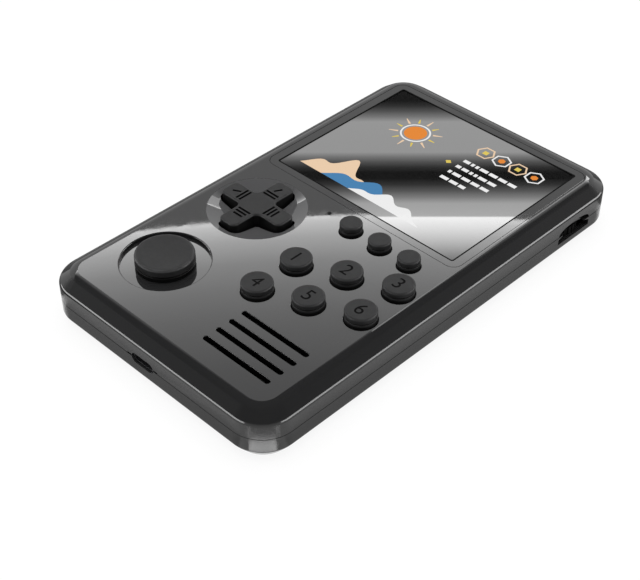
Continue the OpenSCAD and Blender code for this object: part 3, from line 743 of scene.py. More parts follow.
def rim_plugs(loops, height, radius, up, place):
    """Plugs that round the rims of holes; up is 1 where the holes open upwards and -1 downwards."""
    steps = [(-0.05 * MM, -radius - 0.1 * MM)]
    for angle in (math.radians(15 * k) for k in range(1, 6)):
        steps.append((radius * (1 - math.cos(angle)), radius * (math.sin(angle) - 1)))
    steps += [(1.03 * radius, 0.03 * MM), (1.03 * radius, 0.4 * MM)]
    bm = bmesh.new()
    for loop in loops:
        edges = zip(loop, loop[1:] + loop[:1])
        between = [a.lerp(b, part) for a, b in edges for part in (place, place + PLUG_STEP)]
        add_stack(bm, [inset_loop(between, -grow, height + up * rise) for grow, rise in steps])
    bmesh.ops.recalc_face_normals(bm, faces=bm.faces)
    return bm


def boolean(bm, other, operation, coats):
    """The first mesh changed by the second, whose faces get the last coat, and the count of open edges."""
    block, tool = (bpy.data.objects.new(name, bpy.data.meshes.new(name)) for name in ("block", "tool"))
    for obj, source in ((block, bm), (tool, other)):
        bpy.context.scene.collection.objects.link(obj)
        source.to_mesh(obj.data)
    for material in coats:
        block.data.materials.append(material)
    tool.data.materials.append(coats[-1])
    change = block.modifiers.new("Change", "BOOLEAN")
    change.object = tool
    change.operation, change.solver = operation, "EXACT"
    change.material_mode = "TRANSFER"
    bpy.context.view_layer.update()
    made = bmesh.new()
    made.from_mesh(block.evaluated_get(bpy.context.evaluated_depsgraph_get()).to_mesh())
    for obj in (block, tool):
        bpy.data.objects.remove(obj)
    if not any(face.material_index == len(coats) - 1 for face in made.faces):
        raise RuntimeError("the meshes did not meet")
    return made, sum(len(edge.link_faces) != 2 for edge in made.edges)


def combine(bm, other, operation, coats):
    """The first mesh changed by the second, both freed."""
    made, gaps = boolean(bm, other, operation, coats)
    bm.free()
    other.free()
    if gaps > OPEN_EDGES:
        raise RuntimeError("the cut mesh is open")
    return made


def round_rims(bm, loops, height, radius, up, coats):
    """The mesh with the rims of holes rounded; a rim that no plug rounds cleanly keeps its sharp edge."""
    for group in [loops] + [[loop] for loop in loops]:
        for place in PLUG_PLACES:
            plug = rim_plugs(group, height, radius, up, place)
            made, gaps = boolean(bm, plug, "DIFFERENCE", coats)
            plug.free()
            if gaps <= OPEN_EDGES:
                bm.free()
                bm = made
                break
            made.free()
        if group is loops and gaps <= OPEN_EDGES:
            break
    return bm


def size_of(points):
    """Larger side of the flat box round points."""
    return max(max(p[i] for p in points) - min(p[i] for p in points) for i in (0, 1))


class HANDHELD_OT_case(bpy.types.Operator):
    """Rounds the edges of both case halves and gives them a glossy moulded finish"""

    bl_idname = "handheld.case"
    bl_label = "Build case"

    LARGEST_HOLE = 40 * MM  # a wider loop is the pocket of the lens or the outline
    STICK_RIM = (22.5 * MM, 24 * MM)  # least and greatest size of the rim round the stick
    ARCH = (6.6 * MM, 2.3 * MM)  # half width and rise of the arch over the thumb slot
    ARCH_STEPS = 24
    NOTCH = (1.5 * MM, 1.2 * MM, 0.9 * MM)  # sides of the notches beside the charging port
    NOTCH_ASIDE = 4.75 * MM  # from the middle of the port
    PROFILE_STEPS = 10
    RIM_ANGLE = 60  # least crease of a rim, in degrees
    SEAM_IN, TONGUE_IN, FACE_IN = -3 * MM, -0.4 * MM, -8 * MM  # from the outline to the ends of the forms
    WALL = 4 * MM  # faces nearer the outline than this belong to the outer walls
    # Hole walls, the seam groove and the cut edges take the black ink as painted shade.
    BACK_SKIN, FACE_SKIN = 0.5 * MM, 0.15 * MM  # layers at the back and the face in which holes stay grey
    SEAM_HALF = 0.14 * MM  # height of the black groove on either side of the seam
    CUT_HEIGHT = 2.4 * MM  # of the arch and the notches above the seam
    RECESS_RADIUS = 11.7 * MM  # of the recess round the stick, whose walls stay grey

    def execute(self, context):
        sizes = context.scene.handheld_sizes
        low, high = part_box("front_shell")
        half, seam, face = (high.x, high.y), low.z, high.z

        profile = rounded_profile(
            [(self.SEAM_IN, seam - SKIN), (SKIN, seam - SKIN), (SKIN, face - CHAMFER[1] + SKIN / 2),
             (SKIN / 2 - CHAMFER[0], face + SKIN), (self.FACE_IN, face + SKIN)],
            [0, sizes.seam_round, sizes.ridge_round, sizes.face_round, 0], self.PROFILE_STEPS)
        bm = merged_mesh("front_shell")
        holes = self.holes(bm, face)
        wide = [loop for loop in holes if self.STICK_RIM[0] < size_of(loop) < self.STICK_RIM[1]]
        others = [loop for loop in holes if loop not in wide]
        port = centre_of("usb_socket")
        notches = box_mesh([(Vector((port.x + side * self.NOTCH_ASIDE, low.y, seam)), self.NOTCH, 0)
                            for side in (-1, 1)])
        self.half("front_shell", bm, case_form(profile, *half),
                  [(wide, face, sizes.recess_round, 1), (others, face, sizes.rim_round, 1)],
                  [self.arch(high.x, seam), notches])

        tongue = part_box("back_shell")[1].z
        profile = rounded_profile(
            [(self.FACE_IN, -SKIN), (SKIN / 2 - BEVEL[0], -SKIN), (SKIN, BEVEL[1] - SKIN / 2),
             (SKIN, seam + SKIN), (self.TONGUE_IN, seam + SKIN), (self.TONGUE_IN, tongue + 0.1 * MM)],
            [0, sizes.back_round, sizes.back_round, sizes.seam_round, 0, 0], self.PROFILE_STEPS)
        bm = merged_mesh("back_shell")
        self.half("back_shell", bm, case_form(profile, *half), [(self.holes(bm, 0), 0, sizes.rim_round, -1)])
        return {"FINISHED"}

    def holes(self, bm, height):
        """Rims of the holes at one height."""
        return [loop for loop in rim_loops(bm, height, self.RIM_ANGLE) if size_of(loop) < self.LARGEST_HOLE]

    def arch(self, side, seam):
        """Solid that cuts the arch over the thumb slot into the wall at one side."""
        width, rise = self.ARCH
        wheel = centre_of("volume_wheel")
        turns = [math.pi * k / self.ARCH_STEPS for k in range(self.ARCH_STEPS + 1)]
        foot = seam - 0.06 * MM
        bm = bmesh.new()
        add_stack(bm, [
            [Vector((x, wheel.y + width * math.cos(t), foot + rise * math.sin(t) ** 0.8)) for t in turns]
            for x in (side - 4.5 * MM, side + 1 * MM)])
        bmesh.ops.recalc_face_normals(bm, faces=bm.faces)
        return bm

    def half(self, node, bm, form, rims, cuts=()):
        """One half of the case, kept within a rounded form and with the rims of its holes rounded."""
        coats = [finish("case"), finish("ink")]
        bm = combine(bm, form, "INTERSECT", coats)
        for rim in rims:
            bm = round_rims(bm, *rim, coats)
        for cut in cuts:
            bm = combine(bm, cut, "DIFFERENCE", coats)
        self.paint_shade_black(bm)
        piece(bm, node + "_dressed", "console", coats, [node], sharp=14)

    def paint_shade_black(self, bm):
        """Paints shade black on the walls of holes, in the seam and on the cut edges, and marks the rounded
        faces.
        """
        rounded = round_layer(bm)
        low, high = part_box("front_shell")
        foot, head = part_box("joystick_cap")
        stick = (foot + head) / 2
        for part in bm.faces:
            middle, normal = part.calc_center_median(), part.normal
            made = part.material_index
            part[rounded] = made
            inner = abs(middle.x) < high.x - self.WALL and abs(middle.y) < high.y - self.WALL
            deep = inner and self.BACK_SKIN < middle.z < high.z - self.FACE_SKIN and normal.z < 0.2
            recess = (middle.xy - stick.xy).length < self.RECESS_RADIUS and middle.z > foot.z - 0.4 * MM
            seam = made and abs(middle.z - low.z) < self.SEAM_HALF
            within = max(abs(middle.x) / high.x, abs(middle.y) / high.y) < 0.998
            cut = made and within and 0 < middle.z - low.z < self.CUT_HEIGHT and abs(normal.z) > 0.05
            # Painted shade: hole walls, the seam groove and the cut edges take the black ink.
            part.material_index = int(bool((deep and not recess) or seam or cut))


class HANDHELD_OT_screen(bpy.types.Operator):
    """Builds the lens with its printed border and clear window, and the lit display film behind it"""

    bl_idname = "handheld.screen"
    bl_label = "Build screen"

    def execute(self, context):
        sizes = context.scene.handheld_sizes
        low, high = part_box("screen_lens")
        middle = (low + high) / 2
        span = high - low
        window = (sizes.window_width, sizes.window_length)
        edge, corner = 0.06 * MM, 2.9 * MM
        border = [side + 2 * sizes.window_line for side in window]
        under = high.z - sizes.window_depth

        def loop(width, length, radius, height):
            return rounded_loop(middle, width, length, radius, height)

        inner, outer = 0.5 * MM, 0.7 * MM
        rings = [
            loop(*window, inner, under), loop(*border, outer, under),
            loop(*border, outer, low.z), loop(span.x, span.y, corner, low.z),
            loop(span.x, span.y, corner, high.z - edge),
            loop(span.x - 2 * edge, span.y - 2 * edge, corner - edge, high.z),
            loop(*border, outer, high.z), loop(*window, inner, high.z),
        ]
        bm = bmesh.new()
        faces, verts = add_loops(bm, rings)
        for band in (faces[0], faces[6]):
            for face in band:
                face.material_index = 1
        for ring in (verts[0], list(reversed(verts[-1]))):
            bm.faces.new(ring).material_index = 2
        bmesh.ops.recalc_face_normals(bm, faces=bm.faces)
        piece(bm, "screen_lens_dressed", "console",
              [finish("case"), finish("ink"), finish("glass")], ["screen_lens"])

        film = bmesh.new()
        add_stack(film, [loop(*window, inner, under - k * sizes.film) for k in (2.2, 1.2)])
        bmesh.ops.recalc_face_normals(film, faces=film.faces)
        piece(film, "display_film", "console", [finish("wallpaper_and_painted_reflection")])
        self.marks(middle, under - 0.6 * sizes.film)
        coat("lcd_panel", "chip")
        return {"FINISHED"}

    def marks(self, middle, height):
        """Draws the menu: a sun over hills, rows of plain dashes with a pointer, and a line of tiles."""
        white, cream, orange = (0.93, 0.93, 0.93), (0.9, 0.66, 0.45), (0.85, 0.27, 0.04)
        blue, amber = (0.07, 0.24, 0.48), (0.8, 0.62, 0.12)
        bm = bmesh.new()
        ink = bm.faces.layers.float_color.new("ink")

        def shape(points, colour, layer=0):
            level = height + 0.003 * MM * layer
            corners = [(middle.x + u * MM, middle.y + v * MM, level) for u, v in points]
            face = bm.faces.new([bm.verts.new(corner) for corner in corners])
            face[ink] = (*colour, 1)

        def bar(x, y, width, length, colour, layer=0):
            shape([(x, y), (x + width, y), (x + width, y + length), (x, y + length)], colour, layer)

        def ring(x, y, inner, outer, colour, layer, count=36, turn=0.0):
            turns = [turn + 2 * math.pi * k / count for k in range(count + 1)]
            steps = [(math.cos(t), math.sin(t)) for t in turns]
            for (c0, s0), (c1, s1) in zip(steps, steps[1:]):
                shape([(x + inner * c0, y + inner * s0), (x + outer * c0, y + outer * s0),
                       (x + outer * c1, y + outer * s1), (x + inner * c1, y + inner * s1)], colour, layer)

        def hill(start, end, foot, rise, waves, colour, layer):
            count = 28
            for k in range(count):
                edges = []
                for place in (k / count, (k + 1) / count):
                    swell = math.sin(math.pi * place) * (1 + 0.28 * math.sin(waves * math.pi * place))
                    edges.append((start + (end - start) * place, foot + rise * swell))
                (x0, y0), (x1, y1) = edges
                shape([(x0, foot), (x1, foot), (x1, y1), (x0, y0)], colour, layer)

        sun = Vector((-13.5, 11.0))
        ring(*sun, 0.01, 3.3, orange, 0)
        ring(*sun, 3.9, 4.4, white, 0)
        for ray in range(12):
            turn = Matrix.Rotation(math.radians(30 * ray), 2)
            reach = 7.0 + 0.7 * (ray % 2)
            tip = [(5.0, -0.35), (reach, -0.12), (reach, 0.12), (5.0, 0.35)]
            shape([sun + turn @ Vector(point) for point in tip], cream if ray % 2 else amber)
        for row, length in enumerate((17, 12, 14, 9)):
            y = 9.6 - 3.3 * row
            place = 5.0
            while place < 5.0 + length:
                width = 1.0 + 0.55 * ((7 * row + int(10 * place)) % 4)
                bar(place, y, width, 1.25, white)
                place += width + 0.55
        shape([(1.2, 6.9), (2.2, 6.0), (3.2, 6.9), (2.2, 7.8)], amber)
        for tile in range(4):
            x, tint = 5.0 + 5.6 * tile, (cream, white)[tile % 2]
            core, sides = ((amber, 4), (orange, 6))[tile % 2]
            ring(x + 2, 17.2, 2.35, 2.9, tint, 0, 6, math.radians(30 * (tile % 2)))
            ring(x + 2, 17.2, 0.01, 1.1, core, 0, sides, math.radians(45))
        hill(-27, -4, -21.5, 9.0, 5, cream, 0)
        hill(-19, 6, -21.5, 6.0, 4, blue, 1)
        hill(-9, 16, -21.5, 4.6, 6, white, 2)
        piece(bm, "display_marks", "console", [finish("picture")])


def box_mesh(boxes):
    """Separate boxes, each given by its middle, its size and its turn about the upright axis."""
    bm = bmesh.new()
    for middle, size, turn in boxes:
        place = Matrix.Translation(middle) @ Matrix.Rotation(turn, 4, "Z") @ Matrix.Diagonal((*size, 1))
        bmesh.ops.create_cube(bm, size=1.0, matrix=place)
    return bm


class HANDHELD_OT_pad(bpy.types.Operator):
    """Builds the direction pad with rounded edges, black sides that partly stand for painted shade, and
    painted bars cut into its arms
    """

    bl_idname = "handheld.pad"
    bl_label = "Build direction pad"

    # Place along the arm in mm, length in mm and slant in degrees of each bar; arms to +X, +Y, -X and -Y.
    NEAR, FAR = [(4.5, 4.3, 0), (5.65, 3.8, 0), (6.85, 3.2, 0)], [(4.5, 4.4, 0), (5.65, 4.4, 0)]
    ARMS = [NEAR, FAR + [(7.7, 2.4, 61)], FAR + [(7.7, 2.4, -62)], NEAR]
    BAR_WIDTH, BAR_DEPTH = 0.65 * MM, 0.3 * MM
    FLANGE_TOP = 1.68  # mm above the ball tip
    FLANGE = [(0, 0), (0.5, 0.16), (0.8, 0.5), (0.88, 0.88), (7.5, 0.89), (7.5, FLANGE_TOP), (0, FLANGE_TOP)]
    # The black sides below this stand partly for painted shade.
    BLACK_BELOW = 0.6 * MM  # from the top down to the black sides

    def execute(self, context):
        sizes = context.scene.handheld_sizes
        low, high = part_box("dpad")
        centre, top = (low + high) / 2, high.z
        blank = node_mesh("dpad")
        outline = max(rim_loops(blank, top, 40), key=size_of)
        blank.free()
        foot = low.z + self.FLANGE_TOP * MM
        loops = [inset_loop(outline, 0, z) for z in (foot, top - self.BLACK_BELOW, top - sizes.key_round)]
        for k in range(1, 7):
            angle = math.radians(15 * k)
            loops.append(inset_loop(outline, sizes.key_round * (1 - math.cos(angle)),
                                    top - sizes.key_round * (1 - math.sin(angle))))
        bm = bmesh.new()
        wear_and_highlight, rounded = wear_and_highlight_layer(bm), round_layer(bm)
        bands = add_stack(bm, loops)
        # Black sides, partly painted shade; paler rounded top edges, partly wear and partly a painted
        # highlight.
        for face in bands[0]:
            face.material_index = 1
        for band in bands[2:]:
            for face in band:
                face[wear_and_highlight] = 0.3
                face[rounded] = 1
        bmesh.ops.recalc_face_normals(bm, faces=bm.faces)
        coats = [finish("key"), finish("skirt"), finish("ink")]
        bm = combine(bm, self.bars(Vector((centre.x, centre.y, top))), "DIFFERENCE", coats)
        cross = set(bm.faces)
        turned(bm, [(r * MM, low.z + h * MM) for r, h in self.FLANGE], centre, sizes.turn_steps)
        for face in set(bm.faces) - cross:
            face.material_index = 1
        bmesh.ops.recalc_face_normals(bm, faces=bm.faces)
        piece(bm, "dpad_dressed", "dpad", coats, ["dpad"])
        return {"FINISHED"}

    def bars(self, centre):
        """Boxes that cut the bars into the arms round a point in the top face."""
        boxes = []
        for quarter, bars in enumerate(self.ARMS):
            turn = math.radians(90 * quarter)
            along = Matrix.Rotation(turn, 3, "Z") @ Vector((MM, 0, 0))
            for place, length, slant in bars:
                size = (self.BAR_WIDTH, length * MM, 2 * self.BAR_DEPTH)
                boxes.append((centre + place * along, size, turn + math.radians(slant)))
        return box_mesh(boxes)


class HANDHELD_OT_stick(bpy.types.Operator):
    """Turns the stick's cap with its dished top, neck groove and black foot, whose black partly stands for
    painted shade in the groove
    """

    bl_idname = "handheld.stick"
    bl_label = "Build stick"

    SOCKET = (2.22, 2.05)  # radius and depth of the bore for the slider, mm
    # The black below this stands partly for painted shade in the neck groove.
    GROOVE_TOP = 1.48  # mm above the foot; black below
    # Radius past the cap's, height above the foot and rounding of the points up the side, mm.
    SIDE = [(-0.15, 0, 0.12), (0.05, 0.45, 0.2), (0.05, 1.1, 0.1), (-0.3, 1.22, 0.06), (-0.3, 1.42, 0.06),
            (0, 1.55, 0.12)]
    TOP_ROUND = 0.65  # of the top edge, mm
    DISH = (1.2, 0.45, 4)  # width of the rim, depth and rounding of the dished top, mm

    def execute(self, context):
        sizes = context.scene.handheld_sizes
        low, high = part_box("joystick_cap")
        centre = (low + high) / 2
        radius = (high.x - low.x) / 2 - 0.05 * MM
        foot, top = low.z, high.z
        bore, depth = (size * MM for size in self.SOCKET)
        points = [(0, foot + depth), (bore, foot + depth), (bore, foot)]
        points += [(radius + out * MM, foot + rise * MM) for out, rise, _ in self.SIDE]
        points += [(radius, top), (radius - self.DISH[0] * MM, top), (0, top - self.DISH[1] * MM)]
        radii = [0, 0, 0, *(size for _, _, size in self.SIDE), self.TOP_ROUND, self.DISH[2], 0]
        bm = bmesh.new()
        turned(bm, rounded_profile(points, [r * MM for r in radii]), centre, sizes.turn_steps)
        bmesh.ops.recalc_face_normals(bm, faces=bm.faces)
        wear_and_highlight = wear_and_highlight_layer(bm)
        for face in bm.faces:
            middle = face.calc_center_median()
            # Black below the groove top: partly the black foot, partly painted shade in the groove. Paler top
            # rim: partly wear, partly a painted highlight.
            if middle.z < foot + self.GROOVE_TOP * MM:
                face.material_index = 1
            reach = (middle.xy - centre.xy).length
            if radius - 0.8 * MM < reach and middle.z > top - 0.5 * MM:
                face[wear_and_highlight] = 1.0
        piece(bm, "joystick_cap_dressed", "joystick", [finish("key"), finish("skirt")],
              ["joystick_cap"])
        coat("joystick_slider", "black")
        coat("joystick_frame", "pale")
        coat("joystick_base", "black")
        return {"FINISHED"}


class HANDHELD_OT_buttons(bpy.types.Operator):
    """Turns the nine buttons, with black skirts and grooves that partly stand for painted shade, and engraves
    numerals in the six action buttons
    """

    bl_idname = "handheld.buttons"
    bl_label = "Build buttons"

    FLANGE = (0.9, 1.2)  # width and height of the flange, mm
    # The black below the skirt line and in the groove stands partly for painted shade on the sides.
    SKIRT = 2.3  # from the top down to the black skirt, mm
    GROOVE = 1.56  # from the top down to the middle of the groove, mm
    # Radius past the button's, distance below the top and rounding of the points up the side, mm.
    SIDE = [(0, SKIRT, 0), (0, 1.75, 0.1), (-0.22, 1.62, 0.04), (-0.22, 1.5, 0.04), (0, 1.37, 0.1),
            (0, 0, 0.55)]

    def execute(self, context):
        for index, node in enumerate(ACTION_BUTTONS):
            self.button(context, node, str(index + 1))
        for node in FUNCTION_BUTTONS:
            self.button(context, node, "")
        return {"FINISHED"}

    def button(self, context, node, numeral):
        """One button with its flange, skirt, step and cap."""
        sizes = context.scene.handheld_sizes
        low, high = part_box(node)
        centre = (low + high) / 2
        flange = (high.x - low.x) / 2
        radius = flange - self.FLANGE[0] * MM
        top, base = high.z, low.z
        step = base + self.FLANGE[1] * MM
        points = [(0, base), (flange, base), (flange, step), (radius, step)]
        points += [(radius + out * MM, top - drop * MM) for out, drop, _ in self.SIDE] + [(0, top)]
        radii = [0, 0.1, 0.1, 0.05, *(size for _, _, size in self.SIDE), 0]
        bm = bmesh.new()
        turned(bm, rounded_profile(points, [r * MM for r in radii]), centre, sizes.turn_steps)
        bmesh.ops.dissolve_limit(bm, angle_limit=math.radians(0.2), verts=bm.verts, edges=bm.edges)
        bmesh.ops.recalc_face_normals(bm, faces=bm.faces)
        wear_and_highlight, rounded = wear_and_highlight_layer(bm), round_layer(bm)
        for face in bm.faces:
            middle = face.calc_center_median()
            # Black below the skirt line and in the groove, partly painted shade; paler rounded top edges,
            # partly wear and partly a painted highlight.
            if middle.z < top - self.SKIRT * MM or abs(middle.z - top + self.GROOVE * MM) < 0.12 * MM:
                face.material_index = 1
            elif face.normal.z < 0.999 and middle.z > top - self.SIDE[-1][2] * MM:
                face[wear_and_highlight] = 0.25
                face[rounded] = 1
        coats = [finish("key"), finish("skirt"), finish("ink")]
        if numeral:
            place = Vector((centre.x, centre.y, top))
            bm = combine(bm, numeral_mesh(numeral, place, sizes), "DIFFERENCE", coats)
        button = piece(bm, node + "_dressed", node, coats, [node])
        button.visible_glossy = False


def numeral_mesh(numeral, place, sizes):
    """Solid numeral whose middle is at a place."""
    curve = bpy.data.curves.new("numeral", "FONT")
    curve.body = numeral
    curve.size = sizes.numeral_size
    curve.extrude = sizes.numeral_depth
    text = bpy.data.objects.new("numeral", curve)
    bpy.context.scene.collection.objects.link(text)
    mesh = bpy.data.meshes.new_from_object(text)
    bpy.data.objects.remove(text)
    bpy.data.curves.remove(curve)
    bm = bmesh.new()
    bm.from_mesh(mesh)
    spans = [(min(v.co[i] for v in bm.verts), max(v.co[i] for v in bm.verts)) for i in (0, 1)]
    middle = Vector([sum(span) / 2 for span in spans] + [0])
    bmesh.ops.translate(bm, verts=bm.verts, vec=place - middle)
    bmesh.ops.remove_doubles(bm, verts=bm.verts, dist=1e-7)
    return bm


class HANDHELD_OT_edges(bpy.types.Operator):
    """Finishes the charging socket, sound jack, volume wheel, power slider and indicator"""

    bl_idname = "handheld.edges"
    bl_label = "Build edge controls"

    # The volume wheel takes the black ink finish, which stands partly for the shade inside its slot.
    FITTINGS = {
        "usb_socket": "screw", "sound_jack": "black", "volume_wheel": "ink", "volume_pot": "black",
        "power_slider": "key", "power_switch": "steel", "led_light_pipe": "pipe", "led_chip": "pale",
    }

    def execute(self, context):
        for node, name in self.FITTINGS.items():
            coat(node, name)
        return {"FINISHED"}


class HANDHELD_OT_screws(bpy.types.Operator):
    """Finishes the screws of the case, boards and bracket"""

    bl_idname = "handheld.screws"
    bl_label = "Finish screws"

    def execute(self, context):
        coat("case_screws", "screw")
        for node in ("key_screws", "board_screws", "io_screws", "bracket_screws"):
            coat(node, "steel")
        return {"FINISHED"}


class HANDHELD_OT_inside(bpy.types.Operator):
    """Finishes the boards, cables, battery, speaker and rubber pieces inside the case"""

    bl_idname = "handheld.inside"
    bl_label = "Finish inside"

    INSIDE = {
        "lcd_gasket": "foam", "lcd_bracket": "sheet", "lcd_flex": "flex", "key_board": "board",
        "main_board": "board", "main_chip": "chip", "board_connector": "pale", "io_board": "board",
        "io_cable": "cable", "battery": "cell", "battery_pad": "foam", "battery_plug": "pale",
        "battery_leads": "wire", "speaker_frame": "basket", "speaker_cone": "cone", "speaker_magnet": "sheet",
        "dpad_rubber_pad": "rubber", "action_keypad": "rubber", "function_keypad": "rubber",
    }

    def execute(self, context):
        for node, name in self.INSIDE.items():
            coat(node, name)
        return {"FINISHED"}


class HANDHELD_OT_stage(bpy.types.Operator):
    """Sets the camera, white floor, overhead lamp, even fill and the softbox card seen in the gloss"""

    bl_idname = "handheld.stage"
    bl_label = "Set stage"

    # Radiance of the card by height above its lower edge, in metres.
    CARD = [(0.0, 10.5), (0.008, 7.8), (0.03, 5.5), (0.066, 3.5), (0.105, 2.6), (0.149, 1.95), (0.18, 1.65),
            (0.244, 1.22), (0.32, 1.0), (0.44, 0.78), (0.6, 0.3)]
    # Rise of the card's lower edge per square metre sideways, and the place of its low point.
    SAG = (0.292, 0.0755)
    FADE = (0.6, 0.98)  # metres sideways from the low point over which the card fades
    CARD_STEPS = 40
    # Corners of the card's wing, sideways and above the foot of the card, in metres, and its radiance.
    WING, WING_LEVEL = ((0.42, -0.11), (0.7, -0.11), (0.7, 0.08), (0.42, 0.02)), 8.5
    # Heading of each strip light from the console, and height of its clockwise end in metres.
    STRIPS = {"strip_near": ((-0.577, -0.817, 0), 0.3), "strip_right": ((0.83, 0.557, 0), 0.4)}
    STRIP_AWAY, STRIP_HALF, STRIP_LOW, STRIP_HIGH = 0.8, 0.6, 0.02, 0.4  # metres
    # Height and level of the sky's stops in reflections, beyond the console and elsewhere.
    SKY_BEYOND, SKY_ELSEWHERE = ((0.605, 1.0), (0.66, 0.05)), ((0.15, 0.9), (0.72, 0.05))

    def execute(self, context):
        scene = context.scene
        studio, colours = scene.handheld_studio, scene.handheld_colours
        scene.view_settings.view_transform = "Standard"
        self.camera(scene, studio)
        self.floor(colours)
        self.card(studio)
        self.strips()
        self.flags()
        self.lamp(studio)
        self.world(scene, studio)
        return {"FINISHED"}

    def camera(self, scene, studio):
        """Camera at the photograph's viewing angle."""
        az, el = studio.azimuth, studio.elevation
        back = Vector((math.sin(az) * math.cos(el), -math.cos(az) * math.cos(el), math.sin(el)))
        data = bpy.data.cameras.new("camera")
        data.lens = studio.lens
        data.sensor_width = 36
        data.sensor_fit = "HORIZONTAL"
        data.clip_start = 0.01
        data.clip_end = 20
        camera = bpy.data.objects.new("camera", data)
        camera.location = Vector(studio.target) + back * studio.distance
        camera.rotation_euler = back.to_track_quat("Z", "Y").to_euler()
        scene.collection.objects.link(camera)
        scene.camera = camera

    def plane(self, name, corners):
        """One flat stage face."""
        mesh = bpy.data.meshes.new(name)
        mesh.from_pydata([tuple(c) for c in corners], [], [tuple(range(len(corners)))])
        obj = bpy.data.objects.new(name, mesh)
        bpy.context.scene.collection.objects.link(obj)
        return obj

    def floor(self, colours):
        """White floor that keeps a light shadow of the console."""
        half, level = 4.0, -0.1 * MM
        signs = ((-1, -1), (1, -1), (1, 1), (-1, 1))
        floor = self.plane("floor", [(sx * half, sy * half, level) for sx, sy in signs])
        graph = Graph("floor_white")
        graph.shader.inputs["Base Color"].default_value = (0.12, 0.12, 0.12, 1)
        graph.shader.inputs["Roughness"].default_value = 1.0
        graph.shader.inputs["Specular IOR Level"].default_value = 0.0
        path = graph.add("ShaderNodeLightPath")
        seen = graph.maths("MAXIMUM", (path, "Is Camera Ray"), (path, "Is Glossy Ray"))
        seen = graph.maths("MAXIMUM", (seen, "Value"), (path, "Is Transmission Ray"))
        glow = graph.maths("MULTIPLY", (seen, "Value"), 0.9)
        graph.shader.inputs["Emission Color"].default_value = (*colours.floor, 1)
        graph.link(glow, "Value", graph.shader, "Emission Strength")
        floor.data.materials.append(graph.material)

    def card(self, studio):
        """Upright softbox card with a bright lower edge, seen only in reflections."""
        away = Vector((-math.sin(studio.azimuth), math.cos(studio.azimuth), 0))
        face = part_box("front_shell")[1].z
        foot = Vector(studio.target) + away * studio.card_away
        foot.z = face + studio.card_low
        height = studio.card_high - studio.card_low
        aside = Vector((away.y, -away.x, 0))
        places = [studio.card_wide * (k / self.CARD_STEPS - 0.5) for k in range(self.CARD_STEPS + 1)]
        edge = [foot + aside * u + Vector((0, 0, self.SAG[0] * (u - self.SAG[1]) ** 2)) for u in places]
        card = self.plane("softbox_card", edge + [p + Vector((0, 0, height)) for p in reversed(edge)])
        graph = Graph("softbox_gradient")
        graph.tree.nodes.remove(graph.shader)
        emission = graph.add("ShaderNodeEmission")
        clear = graph.add("ShaderNodeBsdfTransparent")
        mix = graph.add("ShaderNodeMixShader")
        graph.link(emission, "Emission", mix, 1)
        graph.link(clear, "BSDF", mix, 2)
        graph.link(mix, "Shader", graph.output, "Surface")
        parts = graph.add("ShaderNodeSeparateXYZ")
        graph.link(graph.coords, "Object", parts, "Vector")
        across = graph.add("ShaderNodeVectorMath", operation="DOT_PRODUCT")
        graph.link(graph.coords, "Object", across, 0)
        across.inputs[1].default_value = aside
        shift = graph.maths("SUBTRACT", (across, "Value"), foot.dot(aside) + self.SAG[1])
        square = graph.maths("MULTIPLY", (shift, "Value"), (shift, "Value"))
        sag = graph.maths("MULTIPLY", (square, "Value"), self.SAG[0])
        level = graph.maths("SUBTRACT", (parts, "Z"), (sag, "Value"))
        along = graph.spread(level, "Value", 0, 1, foot.z, foot.z + height)
        peak = self.CARD[0][1]
        ramp = graph.ramp([(min(1.0, place / height), value / peak) for place, value in self.CARD])
        graph.link(along, "Result", ramp, "Fac")
        graph.link(ramp, "Color", emission, "Color")
        emission.inputs["Strength"].default_value = peak
        reach = graph.maths("ABSOLUTE", (shift, "Value"), 0.0)
        fade = graph.spread(reach, "Value", 0.0, 1.0, *self.FADE)
        graph.link(fade, "Result", mix, "Fac")
        card.data.materials.append(graph.material)
        self.only_in_gloss(card)
        wing = [foot + aside * u + Vector((0, 0, z)) for u, z in self.WING]
        self.plain_card("softbox_wing", wing, self.WING_LEVEL)

    def only_in_gloss(self, card):
        """Shows a card in reflections alone."""
        card.visible_camera = False
        card.visible_diffuse = False
        card.visible_transmission = False
        card.visible_shadow = False

    def plain_card(self, name, corners, level):
        """An even card seen in reflections alone."""
        card = self.plane(name, corners)
        graph = Graph(name)
        graph.tree.nodes.remove(graph.shader)
        emission = graph.add("ShaderNodeEmission", {"Strength": level})
        graph.link(emission, "Emission", graph.output, "Surface")
        card.data.materials.append(graph.material)
        self.only_in_gloss(card)

    def strips(self):
        """Low strips that draw a line along the near and right ridges, and a high one for the far edge."""
        for name, (heading, end) in self.STRIPS.items():
            foot = Vector(heading) * self.STRIP_AWAY
            side = Vector((heading[1], -heading[0], 0)) * self.STRIP_HALF
            low, high, end = (Vector((0, 0, z)) for z in (self.STRIP_LOW, self.STRIP_HIGH, end))
            left, right = foot - side, foot + side
            self.plain_card(name, [left + low, right + low, right + end, left + high], 7.0)
        middle, side, along = Vector((-0.33, 0.63, 0.96)), Vector((0.06, 0, 0.025)), Vector((0, 0.29, -0.2))
        near, far = middle + along * 0.05, middle + along
        self.plain_card("strip_edge", [near - side, near + side, far + side, far - side], 3.5)

    def flags(self):
        """Flags on the floor beyond the far sides, dim cards beside the near walls that paint the contact
        shadow into their reflections, and near-corner reflectors.
        """
        low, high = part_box("back_shell")
        lift, gap, reach = 0.2 * MM, 0.5 * MM, 6.0 * MM
        corner = Vector((high.x - CORNER_RADIUS, low.y + CORNER_RADIUS, lift))

        def spot(away, turn):
            heading = Vector((math.sin(math.radians(turn)), -math.cos(math.radians(turn)), 0))
            return corner + (CORNER_RADIUS + away) * heading

